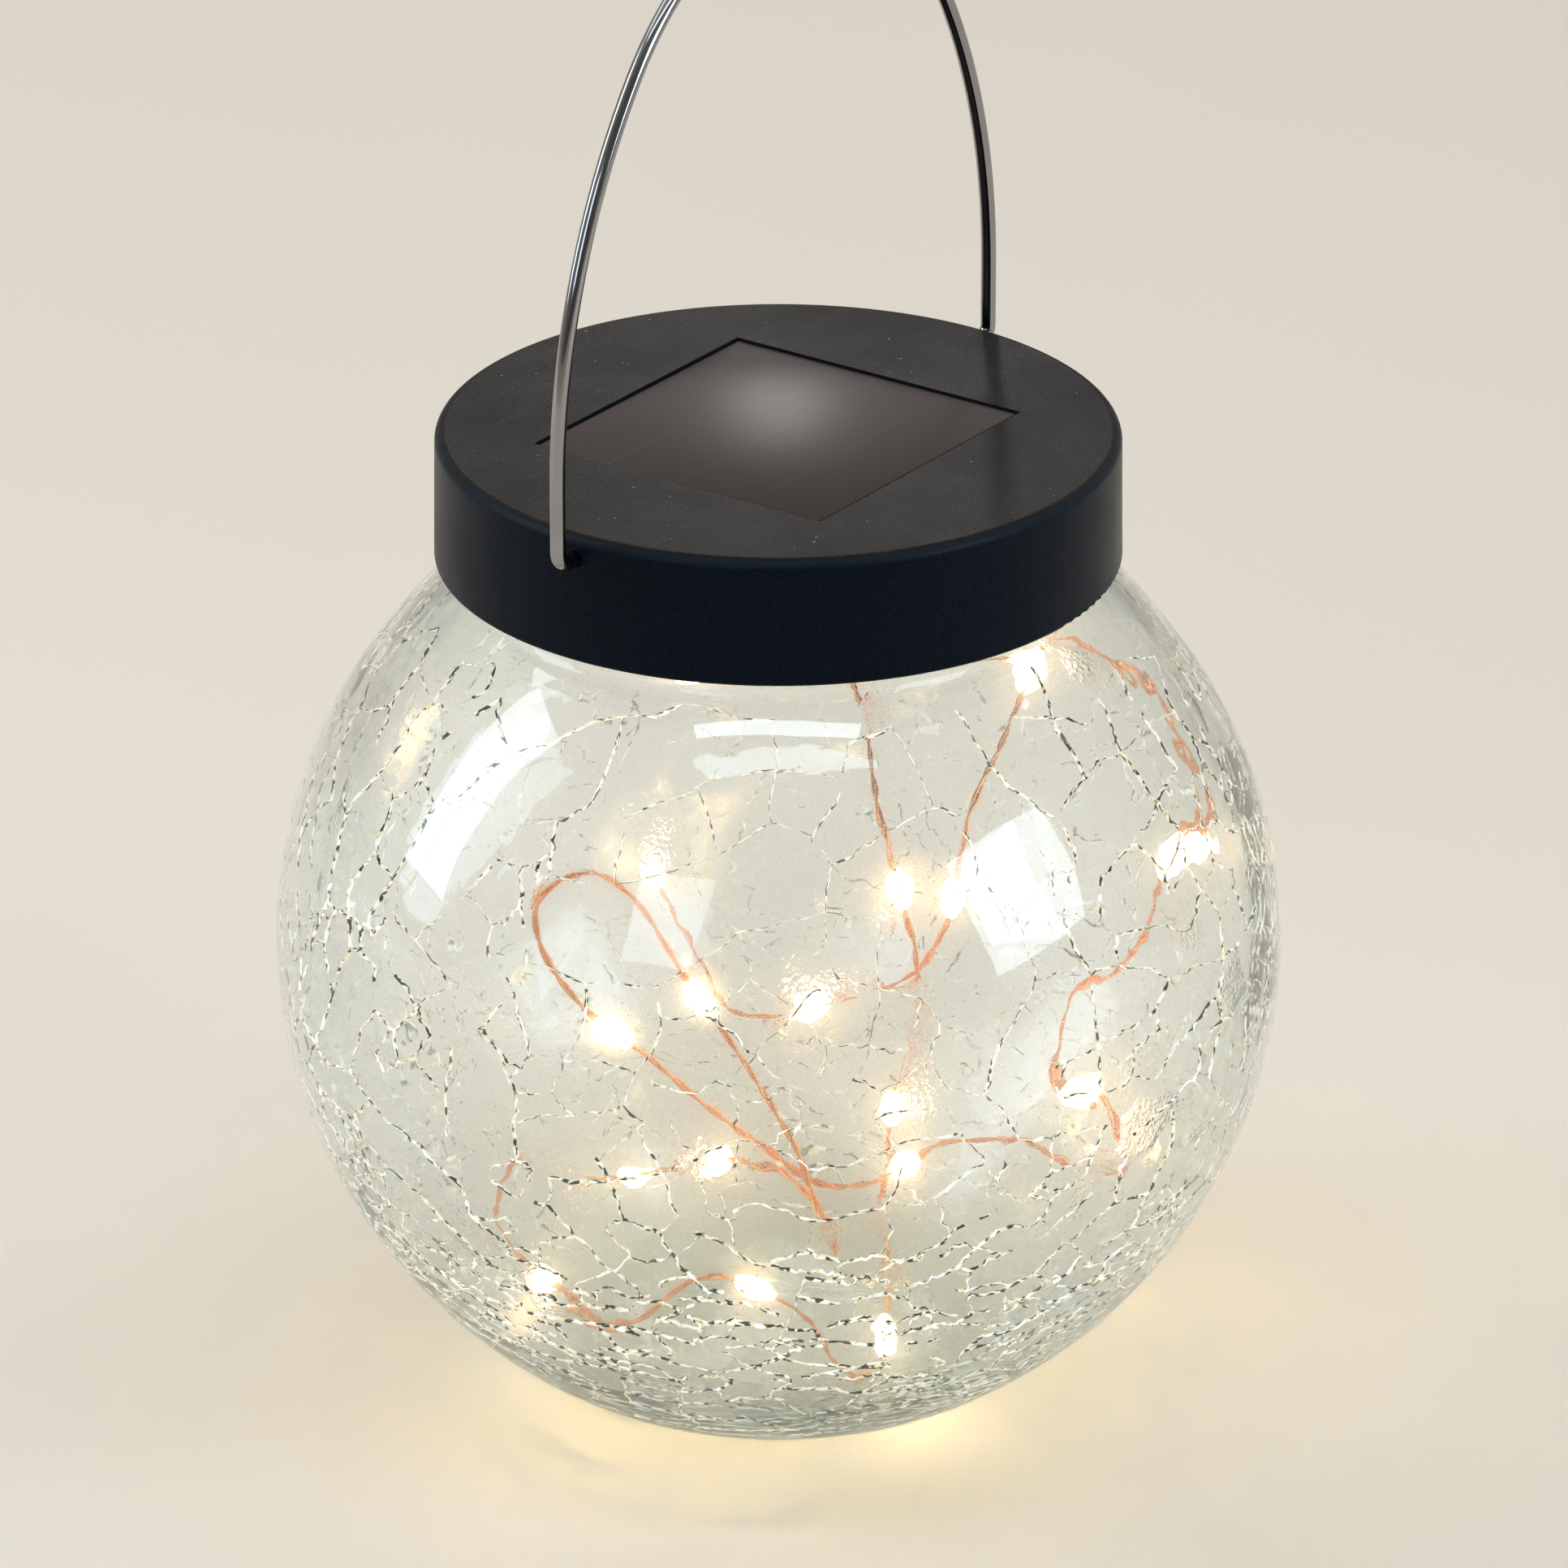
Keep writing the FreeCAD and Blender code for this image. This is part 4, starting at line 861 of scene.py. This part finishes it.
def along(place, direction):
    """A turn and shift that stand a piece's Z axis along a direction at a place."""
    return Matrix.Translation(place) @ direction.to_track_quat("Z", "Y").to_matrix().to_4x4()


def copied(model, name, spots):
    """One piece of copies of the model, one at each spot."""
    copies = []
    for place, direction in spots:
        pick(model)
        bpy.ops.object.duplicate()
        copies.append(bpy.context.active_object)
        copies[-1].matrix_world = along(place, direction)
    bpy.data.objects.remove(model)
    pick(*copies)
    bpy.ops.object.transform_apply(location=True, rotation=True, scale=True)
    bpy.ops.object.join()
    copies[0].name = name
    return copies[0]


def light_string():
    """The twisted wires, the drops and the lights in them, as one cord."""
    line = string_line()
    strands = [strand(f"strand_{index}", line, math.pi * index) for index in range(2)]
    pick(*strands)
    bpy.ops.object.convert(target="MESH")
    strands = list(bpy.context.selected_objects)
    pick(*strands)
    bpy.ops.object.join()
    wire = bpy.context.active_object
    wire.name = "copper_string"
    settle(wire)
    bpy.ops.object.shade_smooth()
    drop = lathed("resin_drop", metres(DROP_OUTLINE), DROP_STEPS)
    drops = copied(drop, "resin_drops", list(light_spots()))
    add_piece(wire, "lid", "copper_wire", COPPER, "light_string")
    add_piece(drops, "lid", "clear_resin", RESIN, "led_beads")
    dies = frame["nodes"]["led_dies"]
    for place in dies.material_slots:
        place.material = DIE


# Floor, lights and camera

def floor():
    """A plain pale card."""
    clear_selection()
    bpy.ops.mesh.primitive_plane_add(size=FLOOR_SIDE)
    piece = bpy.context.active_object
    piece.name = "floor"
    made, tree, shader = finish("floor_card", Roughness=0.9, Specular_IOR_Level=0.0)
    cloud = noise_of(tree, 6.0, 2.0)
    feed(tree, shader, Base_Color=blended(tree, cloud, colour(0.82, 0.74, 0.64), colour(0.84, 0.76, 0.66)))
    piece.data.materials.append(made)


def softbox(name, toward, width, height, radiance, tint=DAYLIGHT):
    """A soft lamp in a direction given as right, up and towards the camera.

    Its width and height are shares of its distance. A radiance of 1 is plain white.
    """
    away = (VIEW_RIGHT * toward[0] + VIEW_UP * toward[1] + VIEW_BACK * toward[2]).normalized()
    lamp = bpy.data.lights.new(name, "AREA")
    lamp.shape = "RECTANGLE"
    lamp.size, lamp.size_y = width * LAMP_DISTANCE, height * LAMP_DISTANCE
    lamp.energy = radiance * math.pi * lamp.size * lamp.size_y
    lamp.color = tint
    holder = bpy.data.objects.new(name, lamp)
    holder.matrix_world = along(GLOBE_CENTRE + away * LAMP_DISTANCE, away)
    bpy.context.scene.collection.objects.link(holder)


def lights():
    """Two windows, two skylights and three lamps, in a pale room that is darker towards the camera."""
    world = bpy.data.worlds.new("studio")
    bpy.context.scene.world = world
    world.use_nodes = True
    tree = world.node_tree
    back = tree.nodes["Background"]
    back.inputs["Color"].default_value = colour(1.0, 0.96, 0.9)
    looked = add_node(tree, "ShaderNodeTexCoord").outputs["Generated"]
    height = add_node(tree, "ShaderNodeSeparateXYZ", {"Vector": looked}).outputs["Z"]
    sky = banded(tree, height, 0.0, 0.9, 0.36, 0.9)
    pair = {0: looked, 1: tuple(VIEW_BACK)}
    ahead = add_node(tree, "ShaderNodeVectorMath", pair, operation="DOT_PRODUCT").outputs["Value"]
    shade = banded(tree, ahead, 0.2, 0.9, 1.0, 0.25)
    tree.links.new(sums(tree, "MULTIPLY", sky, shade), back.inputs["Strength"])
    softbox("left_window", (-0.898, 0.416, 0.143), 0.3, 0.68, 5.6)
    softbox("right_window", (0.817, 0.171, 0.549), 0.43, 0.42, 6.4)
    softbox("camera_lamp", (-0.42, 0.063, 0.905), 0.3, 0.32, 3.6)
    softbox("overhead_strip", (0.0, 0.714, 0.7), 0.62, 0.07, 9.0)
    softbox("left_skylight", (-0.616, 0.788, 0.026), 0.28, 0.12, 5.0)
    softbox("right_skylight", (0.448, 0.851, 0.273), 0.28, 0.1, 5.0)
    softbox("back_lamp", (0.0, 0.72, -0.694), 0.05, 0.36, 4.4, (1.0, 0.97, 0.94))


def camera():
    """The photograph's camera."""
    lens = bpy.data.cameras.new("photo_camera")
    lens.sensor_width = SENSOR_WIDTH
    lens.lens = FOCAL_PIXELS * SENSOR_WIDTH / PHOTO_PIXELS
    lens.clip_end = 50.0
    holder = bpy.data.objects.new("photo_camera", lens)
    place = GLOBE_CENTRE + VIEW_BACK * CAMERA_DISTANCE + VIEW_UP * CAMERA_RISE + VIEW_RIGHT * CAMERA_SHIFT
    holder.matrix_world = Matrix((
        (VIEW_RIGHT.x, VIEW_UP.x, VIEW_BACK.x, place.x),
        (VIEW_RIGHT.y, VIEW_UP.y, VIEW_BACK.y, place.y),
        (VIEW_RIGHT.z, VIEW_UP.z, VIEW_BACK.z, place.z),
        (0.0, 0.0, 0.0, 1.0),
    ))
    bpy.context.scene.collection.objects.link(holder)
    bpy.context.scene.camera = holder


GLASS = crackle_glass_finish()
CRACKS = crack_finish()
COPPER = copper_finish()
RESIN = drop_finish()
DIE = die_finish()

camera()
light_string()
dress_nodes()
globe()
crackle("crackle_cracks", 11, CRACK_HIGHEST, 0.0)
crackle("low_cracks", 23, LOW_CRACK_HIGHEST, 0.8)
floor()
lights()
bpy.context.scene.view_settings.view_transform = "Standard"
